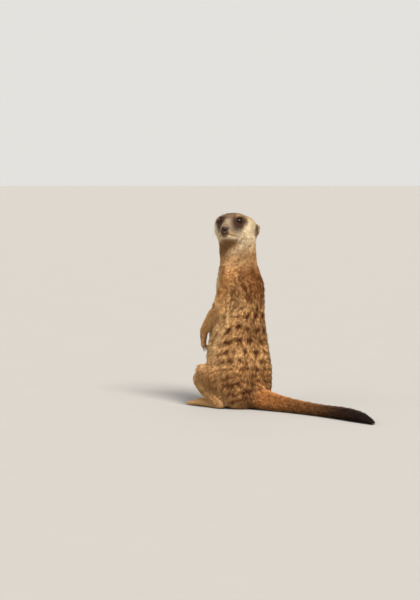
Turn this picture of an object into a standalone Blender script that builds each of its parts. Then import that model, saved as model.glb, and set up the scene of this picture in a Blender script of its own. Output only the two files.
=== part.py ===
"""A life-size meerkat sitting upright on guard, looking back over its left shoulder.

Metres, +Z up. The hips face -Y and the animal's left is +X. The origin is on the floor,
under the hips. The solids reach out to the tips of the coat.
"""

import math

import bmesh
import bpy
from mathutils import Matrix, Vector

# Driving dimensions, in metres and degrees
CROWN_HEIGHT = 0.266  # floor to the top of the head
HEAD_LENGTH = 0.078  # back of the head to the tip of the nose
TAIL_LENGTH = 0.213  # inside the rump to the last hairs
EYE_RADIUS = 0.0047
CHEST_TURN = 30  # the chest is wound to the left of the hips
HEAD_TURN = 124  # the nose points to the left of the hips
HEAD_LIFT = 9  # the nose is raised
GAP = 0.0003  # air kept between neighbouring pieces
CORNER_GAP = 0.00042  # the same at a facet's corners, which leaves GAP at its middle

# The body is drawn in hundredths of the crown's height, the head in hundredths of its length
BODY_UNIT = CROWN_HEIGHT / 100
HEAD_UNIT = HEAD_LENGTH / 100

COLOURS = {
    "coat": (0.52, 0.33, 0.17),
    "limb": (0.60, 0.40, 0.20),
    "face": (0.72, 0.60, 0.44),
    "tail": (0.50, 0.22, 0.07),
    "tail_end": (0.06, 0.03, 0.025),
    "ear": (0.13, 0.07, 0.045),
    "nose": (0.05, 0.03, 0.025),
    "eye": (0.03, 0.015, 0.01),
}
ROUGHNESS = {"nose": 0.45, "eye": 0.05}
FUR_ROUGHNESS = 0.85


# ---------------------------------------------------------------- scene and finish


def clear_scene():
    for old in list(bpy.data.objects):
        bpy.data.objects.remove(old)


def finish_of(name):
    """The Principled material called name, made once."""
    found = bpy.data.materials.get(name)
    if found:
        return found
    made = bpy.data.materials.new(name)
    made.use_nodes = True
    surface = made.node_tree.nodes["Principled BSDF"]
    surface.inputs["Base Color"].default_value = (*COLOURS[name], 1)
    surface.inputs["Roughness"].default_value = ROUGHNESS.get(name, FUR_ROUGHNESS)
    surface.inputs["Metallic"].default_value = 0
    return made


def object_of(name, shape, finish):
    """A scene object that holds the bmesh shape, shaded smooth."""
    bmesh.ops.recalc_face_normals(shape, faces=shape.faces)
    mesh = bpy.data.meshes.new(name)
    shape.to_mesh(mesh)
    shape.free()
    mesh.shade_smooth()
    made = bpy.data.objects.new(name, mesh)
    bpy.context.scene.collection.objects.link(made)
    made.data.materials.append(finish_of(finish))
    return made


def hide_cutter(cutter):
    """Marks an object that only cuts others."""
    cutter.hide_render = True
    cutter.display_type = "WIRE"


# ---------------------------------------------------------------- frames of the body


def frame_at(origin, unit, turn=0, lift=0):
    """A matrix whose X is left, -Y is forward and Z is up, in its own unit of length."""
    left_turn = Matrix.Rotation(math.radians(turn), 4, "Z")
    nose_up = Matrix.Rotation(math.radians(-lift), 4, "X")
    return Matrix.Translation(origin) @ left_turn @ nose_up @ Matrix.Scale(unit, 4)


SKULL_TOP = 23  # head centre to the crown, in the head's unit
HEAD_CENTRE = Vector((0.0042, -0.0062, CROWN_HEIGHT - SKULL_TOP * HEAD_UNIT))
HEAD_FRAME = frame_at(HEAD_CENTRE, HEAD_UNIT, HEAD_TURN, HEAD_LIFT)
CHEST_FRAME = frame_at(Vector((0, 0.002, 0)), BODY_UNIT, CHEST_TURN)
HIP_FRAME = frame_at(Vector((0, 0, 0)), BODY_UNIT)
UP = Vector((0, 0, 1))


def place(frame, left, forward, up):
    """The point that far left, forward and up in a frame."""
    return frame @ Vector((left, -forward, up))


def unit_of(frame):
    return frame.median_scale


def axis_of(frame, direction):
    """A direction of the frame in the world, one metre long."""
    return (frame.to_3x3() @ Vector(direction)).normalized()


# ---------------------------------------------------------------- basic shapes


def smooth_between(before, start, end, after, t):
    """Catmull-Rom value at t from start to end, for numbers and vectors."""
    return 0.5 * (
        2 * start
        + (end - before) * t
        + (2 * before - 5 * start + 4 * end - after) * t**2
        + (3 * start - before - 3 * end + after) * t**3
    )


def samples(stations, steps):
    """Rings spaced smoothly through the stations, steps to a span."""
    last = len(stations) - 1
    for span in range(last):
        around = [stations[max(0, min(last, span + k))] for k in (-1, 0, 1, 2)]
        for step in range(steps + (span == last - 1)):
            yield [smooth_between(*values, step / steps) for values in zip(*around)]


def section(centre, side, up, wide, deep, sides, fullness):
    """The corners of one superellipse ring."""
    power = 2 / fullness
    for k in range(sides):
        angle = math.tau * k / sides
        across, along = math.cos(angle), math.sin(angle)
        across = math.copysign(abs(across) ** power, across)
        along = math.copysign(abs(along) ** power, along)
        yield centre + side * wide * across + up * deep * along


def skin_over(shape, loops):
    """Faces between each loop of corners and the next."""
    sides = len(loops[0])
    for lower, upper in zip(loops, loops[1:]):
        for k in range(sides):
            n = (k + 1) % sides
            shape.faces.new((lower[k], lower[n], upper[n], upper[k]))


END_SLOPES = (35, 65)  # degrees up a round end at which it has rings


def sweep(stations, side, sides, steps=2, facing=None, fullness=2.0):
    """A closed tube through stations of (centre, half width, half depth), with round ends.

    side is the direction of the width. facing, where given, fixes the rings' normal.
    """
    rings = list(samples(stations, steps))
    tangents = []
    for k in range(len(rings)):
        ahead = rings[min(k + 1, len(rings) - 1)][0]
        behind = rings[max(k - 1, 0)][0]
        tangents.append((facing or ahead - behind).normalized())
    shape = bmesh.new()
    loops = []

    def add_ring(centre, tangent, wide, deep):
        across = (side - tangent * side.dot(tangent)).normalized()
        corners = section(centre, across, tangent.cross(across), wide, deep, sides, fullness)
        loops.append([shape.verts.new(corner) for corner in corners])

    def add_end_rings(ring, outward, tangent, slopes):
        centre, wide, deep = ring
        for slope in slopes:
            out, across = math.sin(math.radians(slope)), math.cos(math.radians(slope))
            add_ring(centre + outward * min(wide, deep) * out, tangent, wide * across, deep * across)

    add_end_rings(rings[0], -tangents[0], tangents[0], reversed(END_SLOPES))
    for (centre, wide, deep), tangent in zip(rings, tangents):
        add_ring(centre, tangent, wide, deep)
    add_end_rings(rings[-1], tangents[-1], tangents[-1], END_SLOPES)
    skin_over(shape, loops)
    for (centre, wide, deep), outward, loop in (
        (rings[0], -tangents[0], loops[0]),
        (rings[-1], tangents[-1], loops[-1]),
    ):
        pole = shape.verts.new(centre + outward * min(wide, deep))
        for k in range(sides):
            shape.faces.new((pole, loop[k], loop[(k + 1) % sides]))
    return shape


def ellipsoid(frame, radii, columns, rows):
    """A closed ellipsoid of radii (left, forward, up) in a frame."""
    shape = bmesh.new()
    matrix = frame @ Matrix.Diagonal((*radii, 1))
    bmesh.ops.create_uvsphere(shape, u_segments=columns, v_segments=rows, radius=1, matrix=matrix)
    return shape


def tapered(start, end, start_radius, end_radius, columns=8, rows=6):
    """A rod with round ends: the hull of two balls."""
    shape = bmesh.new()
    for centre, radius in ((start, start_radius), (end, end_radius)):
        where = Matrix.Translation(centre)
        bmesh.ops.create_uvsphere(shape, u_segments=columns, v_segments=rows, radius=radius, matrix=where)
    hull = bmesh.ops.convex_hull(shape, input=shape.verts)
    inside = [g for g in hull["geom_interior"] if isinstance(g, bmesh.types.BMVert)]
    bmesh.ops.delete(shape, geom=inside, context="VERTS")
    return shape


def join(shapes):
    """One bmesh that holds several overlapping ones."""
    whole = shapes[0]
    for other in shapes[1:]:
        scratch = bpy.data.meshes.new("scratch")
        other.to_mesh(scratch)
        other.free()
        whole.from_mesh(scratch)
        bpy.data.meshes.remove(scratch)
    return whole


def keep_side(shape, point, normal):
    """Cuts a shape with a plane, keeps the side its normal points to and closes the cut."""
    everything = shape.verts[:] + shape.edges[:] + shape.faces[:]
    cut = bmesh.ops.bisect_plane(
        shape, geom=everything, dist=1e-7, plane_co=point, plane_no=normal, clear_inner=True
    )
    edges = [g for g in cut["geom_cut"] if isinstance(g, bmesh.types.BMEdge)]
    bmesh.ops.holes_fill(shape, edges=edges)
    return shape


def on_floor(shape):
    """The shape with a flat where it rests on the floor."""
    return keep_side(shape, Vector((0, 0, 0)), UP)


# ---------------------------------------------------------------- neighbours

# Which pieces give way to which others where they would meet. {} is left or right.
GIVES_WAY = {
    "head": ("nose", "eye_left", "eye_right", "ear_left", "ear_right"),
    "neck": ("head", "ear_left", "ear_right", "upper_arm_left", "upper_arm_right"),
    "chest": ("upper_arm_{}", "forearm_{}"),
    "abdomen": ("tail_root", "thigh_{}", "shank_{}", "hind_foot_{}", "upper_arm_{}", "forearm_{}"),
    "upper_arm_{}": ("forearm_{}",),
    "hand_{}": ("forearm_{}",),
    "thigh_{}": ("shank_{}", "hind_foot_{}"),
    "hind_foot_{}": ("shank_{}",),
}
SIDES = (("left", 1), ("right", -1))


def both_sides(names):
    """The names with each {} written out as left and as right."""
    for name in names:
        for side in ("left", "right") if "{}" in name else ("",):
            yield name.replace("{}", side), side


def grown_copy(piece):
    """A hidden cutter: the piece with its skin moved out by the gap."""
    cutter = piece.copy()
    cutter.name = "cutter_" + piece.name
    bpy.context.scene.collection.objects.link(cutter)
    swell = cutter.modifiers.new("gap", "DISPLACE")
    swell.strength = CORNER_GAP
    swell.mid_level = 0
    hide_cutter(cutter)
    return cutter


def cut_from(piece, cutter):
    pocket = piece.modifiers.new("room_for_" + cutter.name, "BOOLEAN")
    pocket.operation = "DIFFERENCE"
    pocket.solver = "EXACT"
    pocket.object = cutter


def make_room():
    """Cuts a pocket in each piece for each neighbour that reaches into it."""
    pairs = []
    for template, givers in GIVES_WAY.items():
        for name, side in both_sides((template,)):
            for other, other_side in both_sides(givers):
                if not side or not other_side or side == other_side:
                    pairs.append((name, other))
    cutters = {other: grown_copy(bpy.data.objects[other]) for _, other in pairs}
    for name, other in pairs:
        cut_from(bpy.data.objects[name], cutters[other])


def fuse(piece, voxel, share):
    """Welds overlapping shapes into one skin, softens it and thins its triangles."""
    weld = piece.modifiers.new("weld", "REMESH")
    weld.mode = "VOXEL"
    weld.voxel_size = voxel
    soften = piece.modifiers.new("soften", "SMOOTH")
    soften.factor = 0.5
    soften.iterations = 2
    thin = piece.modifiers.new("thin", "DECIMATE")
    thin.ratio = share


# ---------------------------------------------------------------- trunk and neck

# Height, left, back, half width, half depth and turn in degrees
TRUNK = [
    (-2.6, 0, 3, 3, 3.8, 0),
    (0, 0, 3, 9, 9.8, 0),
    (4.5, 0, 2.6, 13.5, 13.2, 0),
    (11.3, 0, 1.9, 15.8, 14.8, 0),
    (20.7, 0, 0.4, 16.5, 15.4, 0),
    (30.8, 0, -1, 16.2, 14.8, 3),
    (40.2, 0, 0.3, 14.1, 13.2, 12),
    (49.6, 0, 1, 12.6, 12.5, 21),
    (59.4, 0, 1, 11.8, 12.4, 29),
    (64.7, 0, 0.6, 11.3, 12, 32),
    (70.3, 0, -0.2, 10.2, 10.7, 38),
    (76.3, 0, -0.9, 9.2, 9.5, 50),
    (82, 0.2, -1.2, 9.5, 9.6, 65),
    (88, 0.3, -0.7, 9.3, 9.4, 85),
    (92, 0.4, -0.4, 6.2, 6.4, 95),
]
TRUNK_SIDES = 20
TRUNK_FULLNESS = 2.1
WAIST = 48  # abdomen below, chest above
NECK_BASE = 71


def trunk_shape():
    """The trunk and neck as one winding loft, from the seat up into the head."""
    shape = bmesh.new()
    loops = []
    for height, left, back, wide, deep, turn in samples(TRUNK, 2):
        side = Vector((math.cos(math.radians(turn)), math.sin(math.radians(turn)), 0))
        centre = place(HIP_FRAME, left, -back, height)
        widths = (wide * BODY_UNIT, deep * BODY_UNIT)
        corners = section(centre, side, UP.cross(side), *widths, TRUNK_SIDES, TRUNK_FULLNESS)
        loops.append([shape.verts.new(corner) for corner in corners])
    skin_over(shape, loops)
    shape.faces.new(loops[0])
    shape.faces.new(loops[-1])
    return on_floor(shape)


def trunk_slice(name, low, high):
    """The length of the trunk between two heights."""
    shape = trunk_shape()
    if low is not None:
        keep_side(shape, UP * (low * BODY_UNIT + GAP / 2), UP)
    if high is not None:
        keep_side(shape, UP * (high * BODY_UNIT - GAP / 2), -UP)
    return object_of(name, shape, "coat")


# ---------------------------------------------------------------- head

# Forward of the head's centre, half width, top and bottom
SKULL = [
    (-28, 20, 8, -16),
    (-21, 30, 17, -24),
    (-11.5, 37.2, 21.5, -29),
    (1, 35.8, 23, -31),
    (13, 31.2, 22.2, -31),
    (22, 25.2, 18.6, -30),
    (30.5, 18.4, 10, -28.5),
    (38.5, 13.4, 1.6, -27),
    (45.5, 10.2, -3, -23.5),
    (50, 7.4, -5.2, -19),
]
HEAD_SIDES = 20
HEAD_FULLNESS = 2.1
# Soft mounds and hollows: left, forward, up, reach and height
MOUNDS = [
    (14, 24, 13, 8, 1.6),  # brow
    (17, 25, 3, 7.5, -2.4),  # eye socket
    (26, 3, -15, 13, 1.6),  # cheek
    (8, 48, -13, 6.5, 1.4),  # whisker pad
    (0, 33, 8, 7, -1.0),  # stop, between the eyes
    (16, 35, -9, 7, -1.4),  # hollow below the eye
]
EYE_AT = (14.8, 21.2, 3.2)
EAR_AT = (36.4, -13, -5)
EAR_RADII = (8.4, 4, 10.6)
EAR_BOWL_AT = (1.6, -4.8, -0.6)
EAR_BOWL_RADII = (5.2, 3.6, 7.2)
EAR_SWING = 34  # degrees that an ear's open side faces outwards
EAR_LEAN = 6  # degrees that its top leans in
NOSE_AT = (0, 51, -10)
NOSE_RADII = (5.4, 4.4, 4.2)


def push(shape, left, forward, up, reach, height):
    """Raises a mound, or sinks a hollow, on both sides of the head."""
    for hand in (1, -1) if left else (1,):
        centre = place(HEAD_FRAME, hand * left, forward, up)
        outward = (centre - HEAD_FRAME.translation).normalized()
        for vert in shape.verts:
            far = (vert.co - centre).length / (reach * HEAD_UNIT)
            vert.co += outward * height * HEAD_UNIT * math.exp(-far * far)


def head():
    stations = []
    for forward, wide, top, bottom in SKULL:
        centre = place(HEAD_FRAME, 0, forward, (top + bottom) / 2)
        stations.append((centre, wide * HEAD_UNIT, (top - bottom) / 2 * HEAD_UNIT))
    left, ahead = axis_of(HEAD_FRAME, (1, 0, 0)), axis_of(HEAD_FRAME, (0, -1, 0))
    shape = sweep(stations, left, HEAD_SIDES, 2, ahead, HEAD_FULLNESS)
    for mound in MOUNDS:
        push(shape, *mound)
    return object_of("head", shape, "face")


def on_head(hand, left, forward, up):
    """A frame of the head moved to a place on its left (1) or right (-1)."""
    return HEAD_FRAME @ Matrix.Translation(Vector((hand * left, -forward, up)))


def eye(name, hand):
    radius = EYE_RADIUS / HEAD_UNIT
    return object_of(name, ellipsoid(on_head(hand, *EYE_AT), [radius] * 3, 10, 8), "eye")


def ear(name, hand):
    """A small cupped ear that stands out from the side of the head."""
    swing = Matrix.Rotation(math.radians(hand * EAR_SWING), 4, "Z")
    lean = Matrix.Rotation(math.radians(hand * -EAR_LEAN), 4, "Y")
    frame = on_head(hand, *EAR_AT) @ swing @ lean
    pinna = object_of(name, ellipsoid(frame, EAR_RADII, 12, 8), "ear")
    left, back, up = EAR_BOWL_AT
    bowl = frame @ Matrix.Translation(Vector((hand * left, back, up)))
    scoop = object_of("cutter_bowl_" + name, ellipsoid(bowl, EAR_BOWL_RADII, 10, 6), "ear")
    hide_cutter(scoop)
    cut_from(pinna, scoop)
    return pinna


def nose():
    return object_of("nose", ellipsoid(on_head(1, *NOSE_AT), NOSE_RADII, 12, 8), "nose")


# ---------------------------------------------------------------- forelegs

# Left, forward and up of the chest's axis at the floor, then half width and half depth
UPPER_ARM = [
    (7.9, 1.1, 66.2, 4.9, 5.3),
    (9.4, 3, 60.2, 4.9, 5.1),
    (10.2, 6, 53.8, 4.1, 4.1),
    (10.2, 7.5, 50.8, 3.6, 3.8),
]
FOREARM = [
    (10.2, 7.1, 50.8, 3.6, 3.8),
    (9.2, 10.2, 47.4, 3.2, 3.5),
    (7.7, 14.3, 42.5, 2.5, 2.7),
    (6.6, 16.9, 39.1, 2, 2.1),
]
PALM = [
    (6.6, 17, 39.1, 2, 1.8),
    (6.2, 17.5, 36.8, 2.4, 1.7),
    (6, 17.6, 34.6, 2.5, 1.4),
]
LIMB_SIDES = 12
FINGERS = {
    "root": (5.9, 17.7, 34.2),
    "spread": 1.24,
    "toe": (-0.2, -3),
    "toe_radius": 0.86,
    "claw": (-0.9, -3.6),
    "claw_radius": 0.47,
}


def tube(frame, hand, table, sides=LIMB_SIDES):
    """A shape swept through a table of the frame on the left (1) or the right (-1)."""
    unit = unit_of(frame)
    stations = [
        (place(frame, hand * left, forward, up), wide * unit, deep * unit)
        for left, forward, up, wide, deep in table
    ]
    return sweep(stations, axis_of(frame, (1, 0, 0)), sides)


CLAW_POINT = 0.15  # radius of a claw's tip
OUTER_TOE_SHORTER = 0.09  # share of its length that a toe loses for each place from the middle
TOE_SPLAY = 0.18  # share of the spread by which toes part towards their tips


def digits(frame, hand, root, spread, toe, toe_radius, claw, claw_radius):
    """Four toes side by side, each ending in a claw that curves.

    root is the middle of the row. toe and claw are steps (forward, up).
    """
    unit = unit_of(frame)
    shapes = []
    left, forward, up = root
    for number in (-1.5, -0.5, 0.5, 1.5):
        reach = 1 - OUTER_TOE_SHORTER * abs(number)
        base = (left + number * spread, forward, up)
        tip = (base[0] + number * spread * TOE_SPLAY, forward + toe[0] * reach, up + toe[1] * reach)
        bend = (tip[0], tip[1] + claw[0] * 0.35, tip[2] + claw[1] * 0.55)
        point = (tip[0], tip[1] + claw[0], tip[2] + claw[1])
        joints = [place(frame, hand * x, y, z) for x, y, z in (base, tip, bend, point)]
        radii = [r * unit for r in (toe_radius, toe_radius * 0.9, claw_radius * 0.8, CLAW_POINT)]
        shapes.append(tapered(joints[0], joints[1], radii[0], radii[1]))
        shapes.append(tapered(joints[1], joints[2], claw_radius * unit, radii[2]))
        shapes.append(tapered(joints[2], joints[3], radii[2], radii[3]))
    return shapes


def forefoot(name, hand):
    """The hand hangs from the wrist: a palm, four fingers and four long digging claws."""
    palm = tube(CHEST_FRAME, hand, PALM)
    whole = object_of(name, join([palm, *digits(CHEST_FRAME, hand, **FINGERS)]), "limb")
    fuse(whole, 0.00075, 0.038)
    return whole


# ---------------------------------------------------------------- hind legs

# Left, forward and up of the origin, then half width and half depth
THIGH = [
    (8.6, -6.4, 14.6, 5.2, 7),
    (10.4, -0.6, 15.5, 7.5, 10),
    (11.7, 5.6, 16.5, 6.8, 8.3),
    (13.2, 11.3, 17.3, 5.1, 5.5),
]
SHANK = [
    (13.9, 13.5, 14.3, 4.3, 4.9),
    (13.9, 9.4, 9.8, 4, 4.5),
    (13.3, 3.8, 5.5, 3.2, 3.4),
    (13, 0, 3.4, 2.7, 2.8),
]
SOLE = [
    (13, -1.1, 2.6, 2.6, 2.7),
    (13.1, 4.5, 2.3, 2.6, 2.5),
    (13.4, 10.5, 2.2, 3, 2.3),
    (13.6, 15.8, 1.9, 3.4, 2),
]
TOES = {
    "root": (13.7, 16.5, 1.5),
    "spread": 1.62,
    "toe": (4.9, -0.4),
    "toe_radius": 1.13,
    "claw": (2.4, -0.65),
    "claw_radius": 0.45,
}


def hind_foot(name, hand):
    """The foot lies flat from heel to toes, with four toes and four short claws."""
    whole = join([tube(HIP_FRAME, hand, SOLE), *digits(HIP_FRAME, hand, **TOES)])
    foot = object_of(name, on_floor(whole), "limb")
    fuse(foot, 0.0009, 0.028)
    return foot


# ---------------------------------------------------------------- tail

TAIL_START = (0, -12.8)  # left and forward of the origin
TAIL_BEND = (-17, 7)  # degrees left of straight back, at the root and at the tip
# Share of the length, half thickness and height of the middle
TAIL = [
    (0.0, 5.6, 6.4),
    (0.06, 5.3, 5.5),
    (0.14, 4.6, 4.5),
    (0.27, 3.7, 3.6),
    (0.42, 3.2, 3.1),
    (0.58, 3, 2.9),
    (0.75, 3.1, 3),
    (0.9, 2.6, 2.55),
    (1.0, 1.2, 1.3),
]
TAIL_CUTS = (0.36, 0.64)
TAIL_SIDES = 14


def tail_path(share):
    """A point under the tail's middle line, which bends evenly."""
    steps = 24
    here = place(HIP_FRAME, *TAIL_START, 0)
    for step in range(steps):
        along = share * (step + 0.5) / steps
        angle = math.radians(TAIL_BEND[0] + (TAIL_BEND[1] - TAIL_BEND[0]) * along)
        here += Vector((math.sin(angle), math.cos(angle), 0)) * TAIL_LENGTH * share / steps
    return here


def tail_shape():
    stations = [
        (tail_path(share) + UP * middle * BODY_UNIT, thick * BODY_UNIT, thick * BODY_UNIT)
        for share, thick, middle in TAIL
    ]
    return on_floor(sweep(stations, Vector((1, 0, 0)), TAIL_SIDES))


def tail_length(name, start, end, finish):
    """The length of the tail between two shares of it, cut square across."""
    shape = tail_shape()
    for share, keep in ((start, 1), (end, -1)):
        if share is not None:
            ahead = tail_path(share + 0.01) - tail_path(share - 0.01)
            normal = ahead.normalized() * keep
            keep_side(shape, tail_path(share) + normal * GAP / 2, normal)
    return object_of(name, shape, finish)


# ---------------------------------------------------------------- the whole animal


def build():
    clear_scene()
    head()
    nose()
    trunk_slice("neck", NECK_BASE, None)
    trunk_slice("chest", WAIST, NECK_BASE)
    trunk_slice("abdomen", None, WAIST)
    tail_length("tail_root", None, TAIL_CUTS[0], "tail")
    tail_length("tail_middle", *TAIL_CUTS, "tail")
    tail_length("tail_tip", TAIL_CUTS[1], None, "tail_end")
    for side, hand in SIDES:
        eye("eye_" + side, hand)
        ear("ear_" + side, hand)
        object_of("upper_arm_" + side, tube(CHEST_FRAME, hand, UPPER_ARM), "limb")
        object_of("forearm_" + side, tube(CHEST_FRAME, hand, FOREARM), "limb")
        forefoot("hand_" + side, hand)
        object_of("thigh_" + side, tube(HIP_FRAME, hand, THIGH), "coat")
        object_of("shank_" + side, tube(HIP_FRAME, hand, SHANK), "limb")
        hind_foot("hind_foot_" + side, hand)
    make_room()


build()
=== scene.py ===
# %% [markdown]
# # A meerkat sitting on guard
#
# The animal sits upright on its haunches, turns its chest and then its head over one shoulder, and
# lays its tail along the ground. The imported model gives the body's true outline as plain solids.
# This lesson covers it with one skin, sets eyes, nose leather, claws and whiskers into that skin,
# and then grows a short coat out of it in thin tufts.
#
# The first step loads the frame.

# %% The frame
import math

import bmesh
import bpy
import numpy as np
from mathutils import Matrix, Vector
from mathutils.bvhtree import BVHTree


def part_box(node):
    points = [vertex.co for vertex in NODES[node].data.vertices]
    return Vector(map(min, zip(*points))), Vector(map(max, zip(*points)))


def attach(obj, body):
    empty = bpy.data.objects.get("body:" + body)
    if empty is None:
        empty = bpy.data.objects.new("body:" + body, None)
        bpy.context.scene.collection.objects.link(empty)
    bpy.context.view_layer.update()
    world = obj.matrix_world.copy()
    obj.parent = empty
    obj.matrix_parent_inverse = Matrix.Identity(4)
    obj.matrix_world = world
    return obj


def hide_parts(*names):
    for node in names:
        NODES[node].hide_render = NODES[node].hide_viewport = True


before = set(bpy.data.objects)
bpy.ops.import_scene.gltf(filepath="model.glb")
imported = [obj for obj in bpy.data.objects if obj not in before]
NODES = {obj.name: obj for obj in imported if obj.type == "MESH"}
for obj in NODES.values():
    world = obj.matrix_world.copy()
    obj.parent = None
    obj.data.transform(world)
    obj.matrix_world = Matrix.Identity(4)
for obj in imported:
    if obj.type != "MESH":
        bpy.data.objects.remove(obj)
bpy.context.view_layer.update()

MM = 0.001

# %% [markdown]
# ## Landmarks
#
# Everything is placed from a few landmarks of the body: the eyes, the nose and the way the head
# points. The line between the eyes gives the head's left. The nose lies a known angle below the
# line of sight, so it gives forward and up.

# %% Landmarks of the head
NOSE_DROP = math.radians(23.9)
EYE_FORWARD = 16.5 * MM
EYE_RISE = 2.5 * MM


def unit(vectors):
    """The same directions with length one."""
    vectors = np.asarray(vectors, float)
    return vectors / np.maximum(np.linalg.norm(vectors, axis=-1, keepdims=True), 1e-12)


def middle_of(node):
    """The middle of a solid's box."""
    low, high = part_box(node)
    return (np.array(low) + np.array(high)) / 2


EYES = {side: middle_of("eye_" + side) for side in ("left", "right")}
NOSE = middle_of("nose")
between_eyes = (EYES["left"] + EYES["right"]) / 2
HEAD_LEFT = unit(EYES["left"] - EYES["right"])
to_nose = NOSE - between_eyes
to_nose = unit(to_nose - HEAD_LEFT * (to_nose @ HEAD_LEFT))
above_nose = np.cross(to_nose, HEAD_LEFT)
HEAD_FORWARD = to_nose * math.cos(NOSE_DROP) + above_nose * math.sin(NOSE_DROP)
HEAD_UP = np.cross(HEAD_FORWARD, HEAD_LEFT)
HEAD_AXES = np.array([HEAD_LEFT, HEAD_FORWARD, HEAD_UP])
HEAD_CENTRE = between_eyes - HEAD_FORWARD * EYE_FORWARD - HEAD_UP * EYE_RISE
print("head faces", HEAD_FORWARD.round(2), "and sits", (HEAD_CENTRE / MM).round(1))

# %% [markdown]
# ## The skin: one closed shell
#
# A real skin has no joints between neck, chest and belly. The solids of flesh are copied, merged
# and swelled by a hair's breadth so that the hairlines between them close, and a voxel remesh turns
# the overlapping pile into one shell. The claws are cut off first, because horn isn't skin.

# %% Copies of the flesh
FLESH = sorted(name for name in NODES if not name.startswith("eye_"))
SWELL = 0.28 * MM
FINE = 1e-6
CLAW_CUTS = {"hand_left": (2, 6.0 * MM), "hand_right": (2, 6.0 * MM),
             "hind_foot_left": (1, 3.2 * MM), "hind_foot_right": (1, 3.2 * MM)}


def merged_copy(node):
    """A copy of a solid's mesh whose loose triangles share their corners."""
    work = bmesh.new()
    work.from_mesh(NODES[node].data)
    bmesh.ops.remove_doubles(work, verts=work.verts, dist=FINE)
    return work


def cut_plane(node):
    """The plane that parts a foot's claws from its toes: a point and the direction of the toes."""
    axis, reach = CLAW_CUTS[node]
    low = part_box(node)[0]
    point = Vector(low)
    point[axis] += reach
    normal = Vector((0, 0, 0))
    normal[axis] = 1
    return point, normal


def keep_side(work, node, claws):
    """Keeps only the claws, or only the rest, of a hand or a foot, and closes the cut."""
    point, normal = cut_plane(node)
    everything = work.verts[:] + work.edges[:] + work.faces[:]
    cut = bmesh.ops.bisect_plane(work, geom=everything, plane_co=point, plane_no=normal,
                                 clear_inner=not claws, clear_outer=claws)
    edges = [part for part in cut["geom_cut"] if isinstance(part, bmesh.types.BMEdge)]
    bmesh.ops.holes_fill(work, edges=edges)
    return point, normal


def joined_flesh():
    """All the flesh as one pile of slightly swollen solids."""
    pile = bmesh.new()
    for node in FLESH:
        work = merged_copy(node)
        if node in CLAW_CUTS:
            keep_side(work, node, claws=False)
        work.normal_update()
        for vertex in work.verts:
            vertex.co += vertex.normal * SWELL
        part = bpy.data.meshes.new(node + "_copy")
        work.to_mesh(part)
        work.free()
        pile.from_mesh(part)
        bpy.data.meshes.remove(part)
    mesh = bpy.data.meshes.new("skin")
    pile.to_mesh(mesh)
    pile.free()
    return mesh


def applied(thing, name, kind, **settings):
    """The object's mesh with one modifier worked in; the modifier itself is taken off again."""
    modifier = thing.modifiers.new(name, kind)
    for key, value in settings.items():
        setattr(modifier, key, value)
    graph = bpy.context.evaluated_depsgraph_get()
    result = bpy.data.meshes.new_from_object(thing.evaluated_get(graph), depsgraph=graph)
    thing.modifiers.remove(modifier)
    old = thing.data
    thing.data = result
    bpy.data.meshes.remove(old)
    return result


def new_object(name, mesh):
    """A shown object for a mesh, standing at the origin."""
    thing = bpy.data.objects.new(name, mesh)
    bpy.context.scene.collection.objects.link(thing)
    return thing


SKIN_GRAIN = 0.8 * MM
skin = new_object("skin", joined_flesh())
applied(skin, "one_shell", "REMESH", mode="VOXEL", voxel_size=SKIN_GRAIN)
print("shell:", len(skin.data.polygons), "faces")

# %% [markdown]
# ## Reading and moving many points at once
#
# A skin has about a hundred thousand corners, so they are moved as one array. The neighbours of
# each corner are listed once. Taking the mean of the neighbours again and again smooths a shape,
# and it spreads any other value over the skin in the same way.

# %% Points, neighbours and smoothing


def read(items, key, width=1, kind=np.float32):
    """One property of many mesh items as an array."""
    values = np.empty(len(items) * width, kind)
    items.foreach_get(key, values)
    return values.reshape(-1, width) if width > 1 else values


def points_of(mesh):
    """The corners' places."""
    return read(mesh.vertices, "co", 3).astype(float)


def place(mesh, points):
    """Moves every corner of the mesh."""
    mesh.vertices.foreach_set("co", np.asarray(points, np.float32).ravel())
    mesh.update()


def normals_of(mesh):
    """The outward direction at each corner."""
    return read(mesh.vertex_normals, "vector", 3).astype(float)


class Net:
    """Who is whose neighbour on a mesh."""

    def __init__(self, mesh):
        edges = read(mesh.edges, "vertices", 2, np.int32)
        both = np.vstack([edges, edges[:, ::-1]])
        order = np.argsort(both[:, 0], kind="stable")
        self.other = both[order, 1]
        self.count = np.bincount(both[:, 0], minlength=len(mesh.vertices))
        self.first = np.concatenate([[0], np.cumsum(self.count)[:-1]])

    def mean(self, values):
        """The mean of each corner's neighbours."""
        total = np.add.reduceat(values[self.other], self.first, axis=0)
        return (total.T / self.count).T

    def relaxed(self, values, share, rounds):
        """The values after moving a share of the way to their neighbours' mean, many times."""
        share = np.reshape(share, (-1,) + (1,) * (values.ndim - 1))
        for _ in range(rounds):
            values = values + share * (self.mean(values) - values)
        return values


net = Net(skin.data)
points = points_of(skin.data)
print("corners:", len(points), "most neighbours:", net.count.max())

# %% [markdown]
# ## Thinning the shell where the body is plain
#
# The head, hands and feet need small faces and the trunk doesn't. A vertex group tells the
# decimator where it may take corners away.

# %% Thinning
SKIN_FACES = 130000
FINE_HEAD = 24 * MM, 34 * MM
FACE_SHIFT = 12 * MM
FOOT_PLAIN = 0.2
FIRST_ROUNDS = 6
LEVELS = 10


def distance(points, centre):
    """How far each point lies from one place."""
    return np.linalg.norm(points - centre, axis=1)


def in_head(points):
    """Places in the head's own axes: left, forward and up of its centre."""
    return (points - HEAD_CENTRE) @ HEAD_AXES.T


def smooth_step(low, high, value):
    """0 below low, 1 above high, and a soft rise between."""
    share = np.clip((value - low) / (high - low), 0, 1)
    return share * share * (3 - 2 * share)


def near_box(points, node, margin):
    """True for the points inside a solid's box, grown by a margin."""
    low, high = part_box(node)
    return np.all((points > np.array(low) - margin) & (points < np.array(high) + margin), axis=1)


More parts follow.
